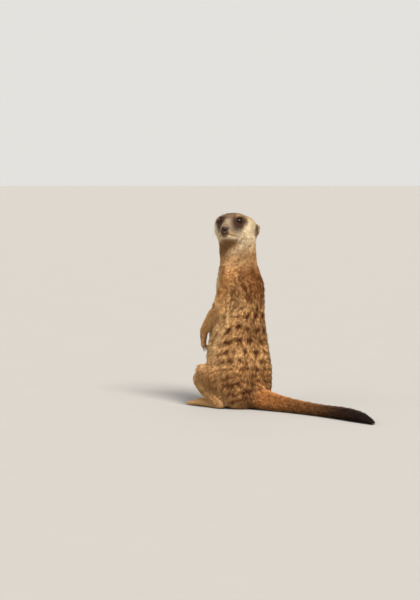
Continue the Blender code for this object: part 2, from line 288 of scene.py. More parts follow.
plain = smooth_step(*FINE_HEAD, distance(points, HEAD_CENTRE + FACE_SHIFT * HEAD_FORWARD))
for node in CLAW_CUTS:
    plain = np.where(near_box(points, node, MM), FOOT_PLAIN, plain)
points = net.relaxed(points, 0.35 + 0.15 * plain, FIRST_ROUNDS)
place(skin.data, points)
group = skin.vertex_groups.new(name="plain")
for level in range(1, LEVELS + 1):
    chosen = np.nonzero(np.round(plain * LEVELS) == level)[0]
    group.add(chosen.tolist(), level / LEVELS, "REPLACE")
wanted = SKIN_FACES / (2 * len(skin.data.polygons))
applied(skin, "thin", "DECIMATE", ratio=min(1.0, wanted), vertex_group="plain", vertex_group_factor=1.0)
skin.vertex_groups.clear()
print("thinned:", len(skin.data.polygons), "faces")

# %% [markdown]
# ## Smaller faces round the eyes and the mouth
#
# Eyelids and lips are thinner than the faces of the shell. Faces near the eyes and on the muzzle
# are split once, so that there are enough corners to shape.

# %% Finer faces on the face
EYE_RADIUS = 4.65 * MM
LID_REACH = 8.5 * MM
FINEST_REACH = 6.6 * MM
MUZZLE_REACH = 19 * MM


def near_eyes(points, reach):
    """True for the points within reach of either eye."""
    return np.any([distance(points, eye) < reach for eye in EYES.values()], axis=0)


def split_faces(work, wanted):
    """Splits once the edges whose middles are wanted."""
    work.edges.ensure_lookup_table()
    middles = np.array([(edge.verts[0].co + edge.verts[1].co) / 2 for edge in work.edges])
    chosen = [work.edges[index] for index in np.nonzero(wanted(middles))[0]]
    bmesh.ops.subdivide_edges(work, edges=chosen, cuts=1, use_grid_fill=True)
    bmesh.ops.triangulate(work, faces=work.faces)


def on_muzzle_or_lids(points):
    """True on the muzzle and round the eyes."""
    return near_eyes(points, LID_REACH) | (distance(points, NOSE) < MUZZLE_REACH)


def on_lids(points):
    """True close round the eyes."""
    return near_eyes(points, FINEST_REACH)


work = bmesh.new()
work.from_mesh(skin.data)
split_faces(work, on_muzzle_or_lids)
split_faces(work, on_lids)
work.to_mesh(skin.data)
work.free()
net = Net(skin.data)
points = points_of(skin.data)
print("skin:", len(skin.data.polygons), "triangles")

# %% [markdown]
# ## Which part of the body each corner belongs to
#
# Coat length, lie and colour change from part to part. Each corner takes the name of the solid
# nearest to it, and those names are then spread over the skin as soft shares, so that one part
# fades into the next as it does on an animal.

# %% Parts and zones
REACH = 6 * MM
PARTS = [name for name in FLESH if name != "nose"]
ZONES = ["head", "ear", "neck", "chest", "abdomen", "upper_arm", "forearm", "hand",
         "thigh", "shank", "hind_foot", "tail"]
SOFT_ROUNDS = 60


def nearest_part(points):
    """The number of the nearest solid for each point."""
    nearest = np.zeros(len(points), int)
    shortest = np.full(len(points), np.inf)
    for number, node in enumerate(PARTS):
        work = merged_copy(node)
        tree = BVHTree.FromBMesh(work)
        for index in np.nonzero(near_box(points, node, REACH))[0]:
            away = tree.find_nearest(Vector(points[index]))[3]
            if away < shortest[index]:
                shortest[index] = away
                nearest[index] = number
        work.free()
    return nearest


def zone_of(node):
    """The zone that a part belongs to."""
    return next(number for number, zone in enumerate(ZONES) if node.startswith(zone))


part_at = nearest_part(points)
zone_of_part = np.array([zone_of(node) for node in PARTS])
sharp = np.eye(len(ZONES))[zone_of_part[part_at]]
share = net.relaxed(sharp, 0.6, SOFT_ROUNDS)


def per_zone(**values):
    """One number for each corner, blended from one number for each zone; a zone left out counts 0."""
    return share @ np.array([values.get(zone, 0) for zone in ZONES], float)


for number, zone in enumerate(ZONES):
    print(zone, (zone_of_part[part_at] == number).sum())

# %% [markdown]
# ## Soft regions
#
# Shapes and markings are told where they lie in one way: by soft edges on a few measures, such as
# how far up the head or how high above the floor a corner is. Two numbers say where a region begins
# and where it is full. Two more say where it starts to fade again and where it has ended.

# %% Measures and regions


def measures(points):
    """Where each point lies, in mm: in the head's axes, round the head and above the floor."""
    left, forward, up = (in_head(points) / MM).T
    return {"left": left, "side": np.abs(left), "forward": forward, "up": up,
            "from_head": distance(points, HEAD_CENTRE) / MM,
            "from_nose": distance(points, NOSE) / MM, "height": points[:, 2] / MM}


def region(at, **edges):
    """A soft region from 0 to 1 with edges on one or more of the measures."""
    inside = 1.0
    for name, limits in edges.items():
        inside = inside * smooth_step(*limits[:2], at[name])
        if len(limits) > 2:
            inside = inside * smooth_step(limits[3], limits[2], at[name])
    return inside


print("corners above the eyes:", (region(measures(points), up=(0, 10)) > 0.5).sum())

# %% [markdown]
# ## Softening the joins and sinking the skin under its coat
#
# Where two parts meet, a living body has loose skin and no crease, so the shell is relaxed most
# there. Then it sinks by the depth of the coat, which grows back to the body's true outline.

# %% Joins and depth
JOIN_ROUNDS = 80
NAPE_ROUNDS = 150
NAPE_FULLNESS = 0.7
NAPE_TOP = 6, 20
SKIN_FLOOR = 0.3 * MM
COAT_DEPTH = per_zone(head=1.3, ear=0.35, neck=2.8, chest=3, abdomen=3.2, upper_arm=2, forearm=1.2,
                      hand=0.4, thigh=2.8, shank=1.4, hind_foot=0.5, tail=2) * MM

join = 1 - smooth_step(0.55, 0.98, share.max(axis=1))
thin_parts = per_zone(ear=1, upper_arm=0.2, forearm=0.6, hand=1, shank=0.4, hind_foot=1, tail=0.2)
points = net.relaxed(points, 0.5 * join * (1 - thin_parts), JOIN_ROUNDS)
at = measures(points)
nape_top = NAPE_TOP[0] + (NAPE_TOP[1] - NAPE_TOP[0]) * region(at, forward=(-8, -20))
nape = region(at, up=(-52, -34)) * smooth_step(0, -14, at["up"] - nape_top) * (1 - thin_parts)
nape = nape * (1 - region(at, forward=(8, 18), up=(-34, -24)))
points = net.relaxed(points, 0.5 * nape, NAPE_ROUNDS)
place(skin.data, points)
soft_normals = unit(net.relaxed(normals_of(skin.data), 0.5, 6))
points = points - soft_normals * (COAT_DEPTH * (1 - NAPE_FULLNESS * nape))[:, None]
points = net.relaxed(points, 0.3 * (1 - thin_parts), 4)
points[:, 2] = np.maximum(points[:, 2], SKIN_FLOOR)
place(skin.data, points)
print("coat depth, mm:", (COAT_DEPTH.min() / MM).round(2), "to", (COAT_DEPTH.max() / MM).round(2))

# %% [markdown]
# ## Eyelids
#
# The lids of a meerkat are two thin folds that meet in an almond opening, and they ride on the ball of the
# eye. The skin in front of each ball is described by its direction from the ball's middle: how far toward
# the nose, and how far up. Inside the almond the skin sinks behind the ball. Outside it lies on the ball
# like a lid, its height above the ball set by its distance from the rim.

# %% Eyelids
EYE_LOOK = np.array([0.52, 0.84, 0.12])
OPENING_HALF_WIDTH = 0.80
UPPER_LID = 0.55
LOWER_LID = 0.50
LID_PROFILE_AT = [-0.25, -0.07, -0.02, 0.03, 0.10]
LID_PROFILE = [-1.3, -0.35, 0.12, 0.42, 0.55]
LID_BLEND = 0.07, 0.38
BARE_RIM = 0.07
CORNER_TILT = math.radians(14)
NO_RIM = 9.0


def eye_axes(side):
    """Three directions at an eye: toward the nose, up the face and out of the ball."""
    out = unit(EYE_LOOK * (1 if side == "left" else -1, 1, 1)) @ HEAD_AXES
    inward = unit(HEAD_FORWARD - out * (HEAD_FORWARD @ out))
    up = unit(np.cross(inward, out) * (1 if side == "left" else -1))
    up = up if up @ HEAD_UP > 0 else -up
    inward, up = (inward * math.cos(CORNER_TILT) - up * math.sin(CORNER_TILT),
                  up * math.cos(CORNER_TILT) + inward * math.sin(CORNER_TILT))
    return inward, up, out


def shape_lids(points, side):
    """Lays the skin round one eye over the ball and opens it. Also returns the way to the rim."""
    inward, up, out = EYE_AXES[side]
    from_eye = points - EYES[side]
    away = np.linalg.norm(from_eye, axis=1)
    direction = unit(from_eye)
    across, rise, front = direction @ inward, direction @ up, direction @ out
    lid_height = np.where(rise > 0, UPPER_LID, LOWER_LID)
    almond = (across / OPENING_HALF_WIDTH) ** 2 + np.abs(rise) / lid_height - 1
    rim = almond / np.hypot(2 * across / OPENING_HALF_WIDTH ** 2, 1 / lid_height)
    facing = (front > 0) & (away < LID_REACH)
    on_ball = EYE_RADIUS + MM * np.interp(rim, LID_PROFILE_AT, LID_PROFILE)
    blend = smooth_step(*LID_BLEND, rim)
    radius = on_ball + blend * (np.maximum(away, EYE_RADIUS + LID_PROFILE[-1] * MM) - on_ball)
    shaped = EYES[side] + direction * radius[:, None]
    return np.where(facing[:, None], shaped, points), np.where(facing, rim, NO_RIM)


EYE_AXES = {side: eye_axes(side) for side in EYES}
rim_at = {}
for side in EYES:
    points, rim_at[side] = shape_lids(points, side)
    print(side, "eye looks along", EYE_AXES[side][2].round(2))
place(skin.data, points)
rim_gap = np.minimum(rim_at["left"], rim_at["right"])
bare = rim_gap < BARE_RIM
print("bare corners at the lids:", bare.sum())

# %% [markdown]
# ## Jaw, mouth, cheeks and throat
#
# The mouth is closed: a long thin groove from under the nose to below the eye, with a deeper jaw
# under it. The skull is flat, the cheeks draw in below the eyes, and the throat lies back under the
# chin. Each is a push along one direction, by its own depth in millimetres times a soft region.

# %% Jaw, mouth, cheeks and throat
JAW_DROP = 5.6
LIP_FRONT, LIP_CORNER = 39.0, 18.0
LIP_HEIGHT, LIP_SLOPE = -18.2, 0.05
LIP_WIDTH, LIP_DEPTH = 0.9, 0.9
CROWN_DROP = 2.2
CHEEK_SLIM = 1.6
THROAT_DEPTH = 4.0
CHIN_ROUNDS = 60
NOSE_SEAT = 2.2
PAD_CENTRE = NOSE - 1.9 * MM * HEAD_UP


def pushed(points, amount, way):
    """Each point moved along a direction by its own amount in millimetres."""
    return points + (amount * MM)[:, None] * way


def shape_jaw(points):
    """Deepens the jaw below the lips and presses the closed mouth in."""
    at = measures(points)
    on_head = smooth_step(0.2, 0.6, share[:, ZONES.index("head")])
    on_jaw = region(at, up=(-9, -17), forward=(10, 22, 36, 46)) * on_head
    points = pushed(points, -JAW_DROP * on_jaw, HEAD_UP)
    line = LIP_HEIGHT - LIP_SLOPE * (LIP_FRONT - at["forward"])
    above_line = at["up"] - JAW_DROP * on_jaw - line
    along = smooth_step(LIP_CORNER - 2, LIP_CORNER + 2, at["forward"])
    groove = along * np.exp(-(above_line / LIP_WIDTH) ** 2) * on_head
    return pushed(points, -LIP_DEPTH * groove, soft_normals), groove


def shape_crown(points):
    """Lowers the top of the skull, which is flat on this animal."""
    drop = region(measures(points), up=(6, 15), forward=(34, 20))
    return pushed(points, -CROWN_DROP * drop, HEAD_UP)


def shape_cheeks(points):
    """Draws the cheeks in below the eyes."""
    at = measures(points)
    slim = region(at, side=(12, 22), up=(-24, -8, -4, 4), forward=(-9, 1, 20, 32))
    return pushed(points, -CHEEK_SLIM * slim * np.sign(at["left"]), HEAD_LEFT)


def shape_throat(points):
    """Draws the throat back under the chin."""
    under = region(measures(points), up=(-75, -38, -27, -22), side=(22, 10), forward=(-4, 12))
    return pushed(points, -THROAT_DEPTH * under, HEAD_FORWARD)


def shape_nose_seat(points):
    """Sinks the tip of the muzzle where the nose leather sits."""
    near = smooth_step(6.5, 3.8, distance(points, PAD_CENTRE) / MM)
    return pushed(points, -NOSE_SEAT * near, HEAD_FORWARD)


points, lip = shape_jaw(shape_throat(shape_cheeks(shape_crown(points))))
points = shape_nose_seat(points)
under_chin = region(measures(points), forward=(0, 8, 22, 32), up=(-60, -45, -25, -20))
points = net.relaxed(points, 0.5 * under_chin, CHIN_ROUNDS)
print("lip corners:", (lip > 0.5).sum())

# %% [markdown]
# ## Ears
#
# The ears are low, thick-rimmed cups that lie against the head. Each is described in its own box,
# where every half size counts as one: the front is hollowed, the rim is left standing, the outer
# part is folded closer to the head, and the lobe is drawn down.

# %% Ears
EAR_HOLLOW = 3.0
EAR_DROP = 3.5
EAR_FOLD = {"left": 0.5, "right": 4.5}


def shape_ear(points, side):
    """Hollows the front of one ear into a cup with a round rim and draws its lobe down."""
    node = "ear_" + side
    sign = 1 if side == "left" else -1
    solid = in_head(points_of(NODES[node].data)) / MM
    centre = (solid.min(axis=0) + solid.max(axis=0)) / 2
    half = (solid.max(axis=0) - solid.min(axis=0)) / 2
    left, forward, up = ((in_head(points) / MM - centre) / half).T
    spread = np.hypot(left, up)
    here = near_box(points, node, MM)
    cup = here * (forward > -0.1) * (np.abs(forward) < 1.2) * smooth_step(0.78, 0.35, spread)
    rim = here * (np.abs(left) < 1.1) * smooth_step(0.72, 0.9, spread)
    fold = here * smooth_step(22, 34, sign * measures(points)["left"])
    points = pushed(points, -EAR_FOLD[side] * fold * sign, HEAD_LEFT)
    lobe = smooth_step(0.2, -1.0, up) * smooth_step(24, 29, sign * measures(points)["left"])
    lobe = lobe * smooth_step(-2.0, -1.1, up) * smooth_step(2.6, 1.0, np.abs(forward))
    points = pushed(points, -EAR_DROP * lobe, HEAD_UP)
    return pushed(points, -EAR_HOLLOW * cup, HEAD_FORWARD), cup, rim


ear_rim = np.zeros(len(points))
for side in EYES:
    points, cup, rim = shape_ear(points, side)
    ear_rim = np.maximum(ear_rim, rim)
    print(side, "ear cup corners:", (cup > 0.5).sum())
place(skin.data, points)

# %% [markdown]
# ## Fingers and toes
#
# Four fingers lie side by side on each hand, and four toes on each foot. The claws show where they
# are: cut across just behind the tips, every claw is an island of its own. A groove is pressed into
# the skin between each claw and the next.

# %% Fingers and toes
DIGIT_LENGTH = {"hand": 12.0 * MM, "hind_foot": 11.0 * MM}
DIGIT_GAP = {"hand": 0.85 * MM, "hind_foot": 0.7 * MM}
DIGIT_DEPTH = {"hand": 1.8 * MM, "hind_foot": 1.2 * MM}
DIGIT_NOTCH = {"hand": 2.4 * MM, "hind_foot": 1.3 * MM}
CUT_EDGE = 0.05 * MM


def islands(work):
    """The separate pieces of a mesh, as lists of corner places."""
    left = set(work.verts)
    found = []
    while left:
        stack = [left.pop()]
        island = []
        while stack:
            vertex = stack.pop()
            island.append(np.array(vertex.co))
            for edge in vertex.link_edges:
                other = edge.other_vert(vertex)
                if other in left:
                    left.discard(other)
                    stack.append(other)
        found.append(np.array(island))
    return found


def claw_lines(node):
    """Root and tip of every claw of one hand or foot."""
    work = merged_copy(node)
    keep_side(work, node, claws=True)
    axis, _ = CLAW_CUTS[node]
    lines = []
    for island in islands(work):
        tip = island[island[:, axis].argmin()]
        root = island[island[:, axis] > island[:, axis].max() - CUT_EDGE].mean(axis=0)
        lines.append((root, tip))
    work.free()
    return lines


def longest_way(places):
    """The direction in which some places are spread the farthest."""
    return np.linalg.svd(places - places.mean(axis=0), full_matrices=False)[2][0]


def shape_digits(points, node):
    """Presses a groove between each finger or toe and the next. Also returns how deep it is."""
    lines = claw_lines(node)
    roots = np.array([root for root, _ in lines])
    across = longest_way(roots)
    ahead = unit(np.mean([tip - root for root, tip in lines], axis=0))
    ahead = unit(ahead - across * (ahead @ across))
    order = np.argsort(roots @ across)
    kind = node.rsplit("_", 1)[0]
    reach = DIGIT_LENGTH[kind]
    groove = np.zeros(len(points))
    for first, second in zip(order, order[1:]):
        offset = points - (roots[first] + roots[second]) / 2
        behind = -(offset @ ahead)
        line = np.exp(-(offset @ across / DIGIT_GAP[kind]) ** 2) * smooth_step(reach, 0.4 * reach, behind)
        groove = np.maximum(groove, line)
    groove = groove * near_box(points, node, MM)
    tip_share = np.clip(soft_normals @ ahead, 0, 1)
    points = points - (DIGIT_NOTCH[kind] * groove * tip_share)[:, None] * ahead
    return points - (DIGIT_DEPTH[kind] * groove * (1 - tip_share))[:, None] * soft_normals, groove


digit_groove = np.zeros(len(points))
for node in CLAW_CUTS:
    print(node, "claws:", len(claw_lines(node)))
    points, groove = shape_digits(points, node)
    digit_groove = np.maximum(digit_groove, groove)
place(skin.data, points)
skin_normals = normals_of(skin.data)

# %% [markdown]
# ## The way round the trunk
#
# Both the lie and the markings of the trunk go by the angle from the spine. The trunk turns as it
# rises, first at the chest and then more at the neck, so the spine's side is worked out at each
# height, and the trunk's middle is read from rings of the skin.

# %% Round the trunk
TURN_OF_CHEST, CHEST_HEIGHTS = math.radians(30), (90 * MM, 150 * MM)
TURN_OF_NECK, NECK_HEIGHTS = math.radians(94), (188 * MM, 240 * MM)
RING_LEVELS = np.arange(4, 236, 8) * MM
RING_HALF = 5 * MM
TRUNK = "neck", "chest", "abdomen"


def spine_turn(height):
    """How far the trunk has turned at a height, as an angle from the hips."""
    chest = TURN_OF_CHEST * smooth_step(*CHEST_HEIGHTS, height)
    return chest + TURN_OF_NECK * smooth_step(*NECK_HEIGHTS, height)


def trunk_axis(height):
    """The middle of the trunk at each height."""
    on_trunk = np.isin(zone_of_part[part_at], [ZONES.index(zone) for zone in TRUNK])
    trunk = points[on_trunk]
    middles = []
    for level in RING_LEVELS:
        ring = trunk[np.abs(trunk[:, 2] - level) < RING_HALF]
        middles.append((ring.min(axis=0) + ring.max(axis=0)) / 2)
    across, along = np.array(middles)[:, :2].T
    return np.column_stack([np.interp(height, RING_LEVELS, across), np.interp(height, RING_LEVELS, along)])


def round_trunk(points):
    """Each point's angle from the spine, its distance from the trunk's middle and the way round."""
    turn = spine_turn(points[:, 2])
    back = np.stack([-np.sin(turn), np.cos(turn)], axis=1)
    side = np.stack([np.cos(turn), np.sin(turn)], axis=1)
    offset = points[:, :2] - trunk_axis(points[:, 2])
    angle = np.arctan2((offset * side).sum(axis=1), (offset * back).sum(axis=1))
    reach = np.linalg.norm(offset, axis=1)
    tangent = np.cos(angle)[:, None] * side - np.sin(angle)[:, None] * back
    return angle, reach, tangent


round_angle, round_reach, round_way = round_trunk(points)
print("corners on the back:", (np.abs(round_angle) < math.pi / 4).sum())

# %% [markdown]
# ## The lie of the coat
#
# Hair grows away from the nose, over the head and down the neck. On the trunk it runs down, and on
# the flanks it also turns toward the belly. On a limb or the tail it points to the far end. Each
# zone gets its own direction, and the directions are spread over the skin until they flow into each
# other. At last each is laid flat on the skin.

# %% Lie of the coat
LIE_STEPS, LIE_ROUNDS = 4, 10
FLANK_TURN, FLANK_HEIGHT = 1.0, 125
UPPER_TURN, UPPER_HEIGHT = 0.35, 165
CHEEK_DROP = 0.45
EAR_RISE = 0.3
DOWN = np.array([0.0, 0.0, -1.0])
FOOT_LIE = np.array([0.0, -1.0, 0.0])
THIGH_LIE = np.array([0.0, -0.35, -1.0])
HEEL_WAY = np.array([0.0, 1.0, -1.0])
TAIL_WAY = np.array([0.0, 1.0, 0.0])


def long_axis(node, way):
    """The direction of a limb's length, on the side of a rough direction."""
    axis = longest_way(points_of(NODES[node].data))
    return axis if axis @ way > 0 else -axis


def lie_of_part(node, zone, at):
    """The raw direction of the coat on one part, for all points or as one direction."""
    if zone in TRUNK:
        flank = UPPER_TURN + (FLANK_TURN - UPPER_TURN) * region(at, height=(UPPER_HEIGHT, FLANK_HEIGHT))
        turn = np.sign(round_angle) * np.abs(np.sin(round_angle)) * flank
        return np.column_stack([round_way * turn[:, None], -np.ones(len(points))])
    if zone == "head":
        return unit(points - NOSE) + CHEEK_DROP * region(at, from_nose=(25, 55))[:, None] * DOWN
    if zone == "ear":
        return unit(middle_of(node) - HEAD_CENTRE) + EAR_RISE * HEAD_UP
    if zone in ("upper_arm", "forearm", "hand"):
        return long_axis(node, DOWN)
    if zone == "shank":
        return long_axis(node, HEEL_WAY)
    if zone == "tail":
        return long_axis(node, TAIL_WAY)
    return FOOT_LIE if zone == "hind_foot" else THIGH_LIE


def flow_of(points):
    """The raw direction of the coat at every corner of the skin."""
    at = measures(points)
    flow = np.zeros((len(points), 3))
    for number, node in enumerate(PARTS):
        lie_here = np.broadcast_to(lie_of_part(node, ZONES[zone_of_part[number]], at), flow.shape)
        flow[part_at == number] = lie_here[part_at == number]
    return unit(flow)


def laid_flat(flow, normals):
    """The same directions, tangent to the skin."""
    return unit(flow - normals * (flow * normals).sum(axis=1, keepdims=True))


lie = laid_flat(flow_of(points), skin_normals)
for _ in range(LIE_STEPS):
    lie = laid_flat(net.relaxed(lie, 0.6, LIE_ROUNDS), skin_normals)
print("mean lie:", lie.mean(axis=0).round(2))

# %% [markdown]
# ## The markings
#
# A meerkat wears a dark patch round each eye, a grey crown, pale cheeks, dark ears, rows of dark
# spots across the back, a reddish rump and a tail with a black end. Each marking is a number from 0
# to 1 at every corner of the skin, worked out from where the corner lies on the body. Skin and hair
# read the same numbers, so a marking goes right through the coat. Soft random patterns, made by
# blending random values on a grid, break up the edges.

# %% Soft random patterns
GRID_FACTORS = np.array([73856093, 19349663, 83492791])
SEED_FACTOR, MIX_FACTOR = 7919, 1274126177
LAST_BITS, HALF_SPAN = 0xFFFF, 32767.5


def clouds(points, size, seed):
    """Soft random values from -1 to 1 that change over about the given size."""
    cell = points / size
    corner = np.floor(cell).astype(np.int64)
    inner = cell - corner
    inner = inner * inner * (3 - 2 * inner)
    total = np.zeros(len(points))
    for step in np.ndindex(2, 2, 2):
        key = (corner + step) @ GRID_FACTORS + seed * SEED_FACTOR
        key = (key ^ (key >> 13)) * MIX_FACTOR & 0xFFFFFFFF
        value = ((key ^ (key >> 16)) & LAST_BITS) / HALF_SPAN - 1
        weight = np.prod(np.where(step, inner, 1 - inner), axis=1)
        total += value * weight
    return total


print("spread of a soft pattern:", clouds(points, 14 * MM, 7).std().round(2))


# %% [markdown]
# The face comes first. Each eye patch is a rounded shape with its own reach to the nose, to the back, up
# and down, so it ends in a point on the cheek. The lips, the tip of the muzzle and the fronts of the ears
# are dark too. The dark under the nose is partly painted shade, set a little to one side, and the dark of
# the ear runs on below it as a painted shadow in the crease behind the cheek.

# %% Markings of the face
PATCH_OUT, PATCH_HEIGHT = 13.0, 2.5
PATCH_TO_NOSE, PATCH_BACK, PATCH_UP, PATCH_DOWN = 10.0, 9.0, 8.0, 14.0
PATCH_ROUNDNESS = 2.2, 1.45
LIP_DARK_AND_SHADE_MIDDLE = -1.2, 40.0, -16.0
EAR_DARK_AND_SHADE_MIDDLE, EAR_DARK_AND_SHADE_HALF = (28.5, -8.2, -7.5), (4.4, 4.4, 9.0)
THROAT_SHADOW_EDGE, THROAT_SHADOW_SLOPE = -33.0, 0.6


def eye_patches(at):
    """The dark patches round the eyes, which end in a point on the cheek."""
    across = at["side"] - PATCH_OUT
    across = np.abs(across / np.where(across < 0, PATCH_TO_NOSE, PATCH_BACK))
    rise = at["up"] - PATCH_HEIGHT
    power = np.where(rise > 0, *PATCH_ROUNDNESS)
    rise = np.abs(rise / np.where(rise > 0, PATCH_UP, PATCH_DOWN))
    edge = (across ** power + rise ** power) ** (1 / power) + 0.12 * clouds(points, 3 * MM, 5)
    return smooth_step(1.2, 0.55, edge) ** 0.8 * region(at, forward=(-5, 2))


at = measures(points)
on_head = per_zone(head=1, ear=1)
on_ear = np.isin(part_at, [PARTS.index("ear_" + side) for side in EYES]).astype(float)
# Dark lips and muzzle tip, their own colour. The patch under the nose, set a little to one side, is partly
# painted shade beneath the nose.
lips_dark_and_shade = np.maximum.reduce([0.4 * region(at, from_nose=(8.0, 5.5)),
                               0.9 * smooth_step(8.2, 5.2, distance(in_head(points) / MM, LIP_DARK_AND_SHADE_MIDDLE)),
                               0.6 * smooth_step(0.35, 0.9, lip)])
# The ear's own dark colour, which runs on below the ear over the head as a painted shadow in the crease
# behind the cheek.
from_ear = np.column_stack([at["side"], at["forward"], at["up"]]) - EAR_DARK_AND_SHADE_MIDDLE
from_ear = np.linalg.norm(from_ear / EAR_DARK_AND_SHADE_HALF, axis=1) + 0.15 * clouds(points, 3 * MM, 33)
ear_dark_and_crease_shade = 0.8 * smooth_step(1.2, 0.75, from_ear) * (1 - 0.7 * ear_rim) * np.maximum(on_ear, on_head)
dark = np.maximum.reduce([eye_patches(at) * on_head, lips_dark_and_shade * on_head, ear_dark_and_crease_shade])
print("dark face corners:", (dark > 0.5).sum())

# %% [markdown]
# The rest of the head is told in soft regions: cream on cheeks and chin, grey on the crown and between the
# eyes, and a painted shadow under the chin, amber and brown on the throat, that reaches lower on one side,
# as light from the right casts it.

# %% Cheeks, crown and throat
cheek = region(at, up=(14, 0), forward=(34, 20), from_head=(50, 30))
cheek = cheek * (0.25 + 0.75 * region(at, forward=(-22, -9)))
chin = region(at, up=(-18, -21), forward=(10, 22)) * on_head
brow = region(at, up=(-3, 6), side=(13, 6), forward=(6, 14))
nape_grey = 0.4 * region(at, forward=(-8, -18), up=(-45, -15))
crown = np.maximum.reduce([region(at, up=(5, 15)), brow, nape_grey]) * region(at, from_head=(46, 24))
muzzle = region(at, from_nose=(34, 18)) * on_head * (1 - 0.6 * region(at, up=(-10, -16)))
# The throat mark is a painted shadow under the chin, lower on one side as light from the right casts it.
throat_shadow_edge = THROAT_SHADOW_EDGE + THROAT_SHADOW_SLOPE * at["left"] + 2.0 * clouds(points, 8 * MM, 31)
throat_shadow = region(at, up=(-20.5, -26.5), left=(-30, -20, 6, 18), forward=(-12, 4))
throat_shadow = throat_shadow * smooth_step(throat_shadow_edge - 6, throat_shadow_edge + 3, at["up"])
print("pale cheek corners:", (cheek > 0.5).sum(), "amber throat corners:", (throat_shadow > 0.5).sum())

# %% [markdown]
# The back wears rows of dark spots. A row is a wave of the height, bent a little round the trunk and
# made wavy. Along a row the spots are a wave of the way round, and every second row is set off by
# half a spot. Low on the back the spots run together into bars, and between the shoulders the back
# is darker all over.

# %% Rows of spots
ROW_HEIGHTS = np.array([5, 14, 22, 31, 40, 49, 59, 70, 84, 98, 114, 130, 146]) * MM
ROW_SAG = 5.0 * MM
SPOT_PITCH = 9.0 * MM, 13.5 * MM
BACK_EDGE = math.radians(84), math.radians(62)

height = points[:, 2]
at["from_spine"] = np.abs(round_angle)
on_trunk = per_zone(neck=1, chest=1, abdomen=1, upper_arm=0.2, thigh=0.5)
wander = 6.0 * MM * clouds(points, 24 * MM, 2) + 2.5 * MM * clouds(points, 9 * MM, 21)
wander = wander + ROW_SAG * (at["from_spine"] / BACK_EDGE[1]) ** 2
row = np.interp(height + wander, ROW_HEIGHTS, np.arange(len(ROW_HEIGHTS)))
stripe = 0.5 + 0.5 * np.cos(2 * math.pi * row) + 0.3 * clouds(points, 4 * MM, 9)
stripe = smooth_step(0.25, 0.8, stripe)
spot_pitch = SPOT_PITCH[0] + (SPOT_PITCH[1] - SPOT_PITCH[0]) * region(at, height=(40, 75))
phase = math.pi * np.round(row) + 2.2 * clouds(points, 16 * MM, 12)
spot = 0.5 + 0.5 * np.cos(2 * math.pi * round_angle * round_reach / spot_pitch + phase)
spot = smooth_step(0.1, 0.7, spot + 0.7 * clouds(points, 9 * MM, 3))
spot = np.maximum(spot, 0.7 * region(at, height=(75, 45)))
band = stripe * (0.12 + 0.88 * spot) * region(at, from_spine=BACK_EDGE, height=(6, 16, 132, 150))
saddle = 0.65 * region(at, from_spine=(0.9, 0.2), height=(80, 120, 180, 205))
band = np.maximum(band, saddle * (0.6 + 0.4 * clouds(points, 6 * MM, 8))) * on_trunk
print("band corners:", (band > 0.5).sum())

# %% [markdown]
# The last markings are the warm ones: a rufous rump, back and mantle over the shoulders, a rufous tail that
# darkens to a black end, and brown hands and feet, the hands partly as painted shade. Below, belly and
# flanks are pale. Painted shade is added too: amber and brown for the shadow under the chin, and brown in
# the grooves between fingers and toes. Fine streaks run down the shoulders, as long hair parts there.

# %% Warm and pale parts of the body
TAIL_BLACK = 55 * MM, 225 * MM
STREAK_WIDTH, STREAK_LENGTH, STREAK_WANDER = 2.7 * MM, 11 * MM, 4 * MM

on_tail = per_zone(tail=1)
on_neck = per_zone(neck=1)
rump = 0.5 * region(at, height=(90, 40), from_spine=(2.4, 1.2))
back_red = 0.38 * region(at, height=(60, 110, 222, 236), from_spine=(1.4, 0.5))
mantle = region(at, height=(140, 162, 184, 200)) * per_zone(neck=1, chest=1, abdomen=1, upper_arm=0.8)
rufous = per_zone(ear=0.2, neck=0.16, chest=0.05, abdomen=0.05, upper_arm=0.25, forearm=0.35,
                  hand=0.35, thigh=0.45, shank=0.35, hind_foot=0.1, tail=0.95)
rufous = rufous + on_trunk * (rump + back_red) + 0.5 * mantle * region(at, from_spine=(2.7, 1.9))
# Rufous is added where the shadow under the chin is painted.
rufous = np.clip(rufous + 0.45 * throat_shadow, 0, 1)
tail_way = (points[:, 1] - TAIL_BLACK[0]) / (TAIL_BLACK[1] - TAIL_BLACK[0])
tail_way = np.clip(tail_way + 0.06 * clouds(points, 8 * MM, 4), 0, 1)
black = on_tail * (1 - (1 - tail_way) ** 2)
belly = 0.75 * on_trunk * region(at, from_spine=(1.7, 2.5), height=(215, 160))
flank = 0.2 * on_trunk * region(at, from_spine=(0.9, 1.5), height=(190, 150))
cream = np.maximum.reduce([cheek, chin, belly, flank, 0.1 * on_neck, 0.9 * muzzle])
# Cream is taken off where the shadow under the chin is painted.
cream = np.maximum(np.clip(cream, 0, 1) * (1 - 0.8 * throat_shadow), 0.3 * on_ear * ear_rim)
grey = np.maximum.reduce([0.95 * crown, 0.75 * muzzle * (1 - chin), 0.29 * on_neck * (1 - cheek)])
# The hands are brown partly as their own colour and partly as painted shade.
brown = per_zone(ear=0.6, forearm=0.04, hand=0.65, shank=0.15, hind_foot=0.45, tail=0.12)
# Brown also paints shade here: the shadow under the chin on the throat, and shade in the grooves between
# fingers and toes.
brown = np.maximum(brown + 0.42 * throat_shadow + 0.16 * mantle, 0.8 * digit_groove)
streak_side = round_angle * round_reach + STREAK_WANDER * clouds(points, 9 * MM, 42)
streak_drop = height + 2 * STREAK_WANDER * clouds(points, 7 * MM, 43)
streak_place = np.column_stack([streak_side / STREAK_WIDTH, streak_drop / STREAK_LENGTH, 0 * height])
streaky = per_zone(neck=0.35, chest=1, abdomen=0.5, upper_arm=0.9, thigh=0.3)
streak = streaky * (1 - belly) * clouds(streak_place, 1.0, 41)
print("rufous corners:", (rufous > 0.5).sum(), "black corners:", (black > 0.5).sum())

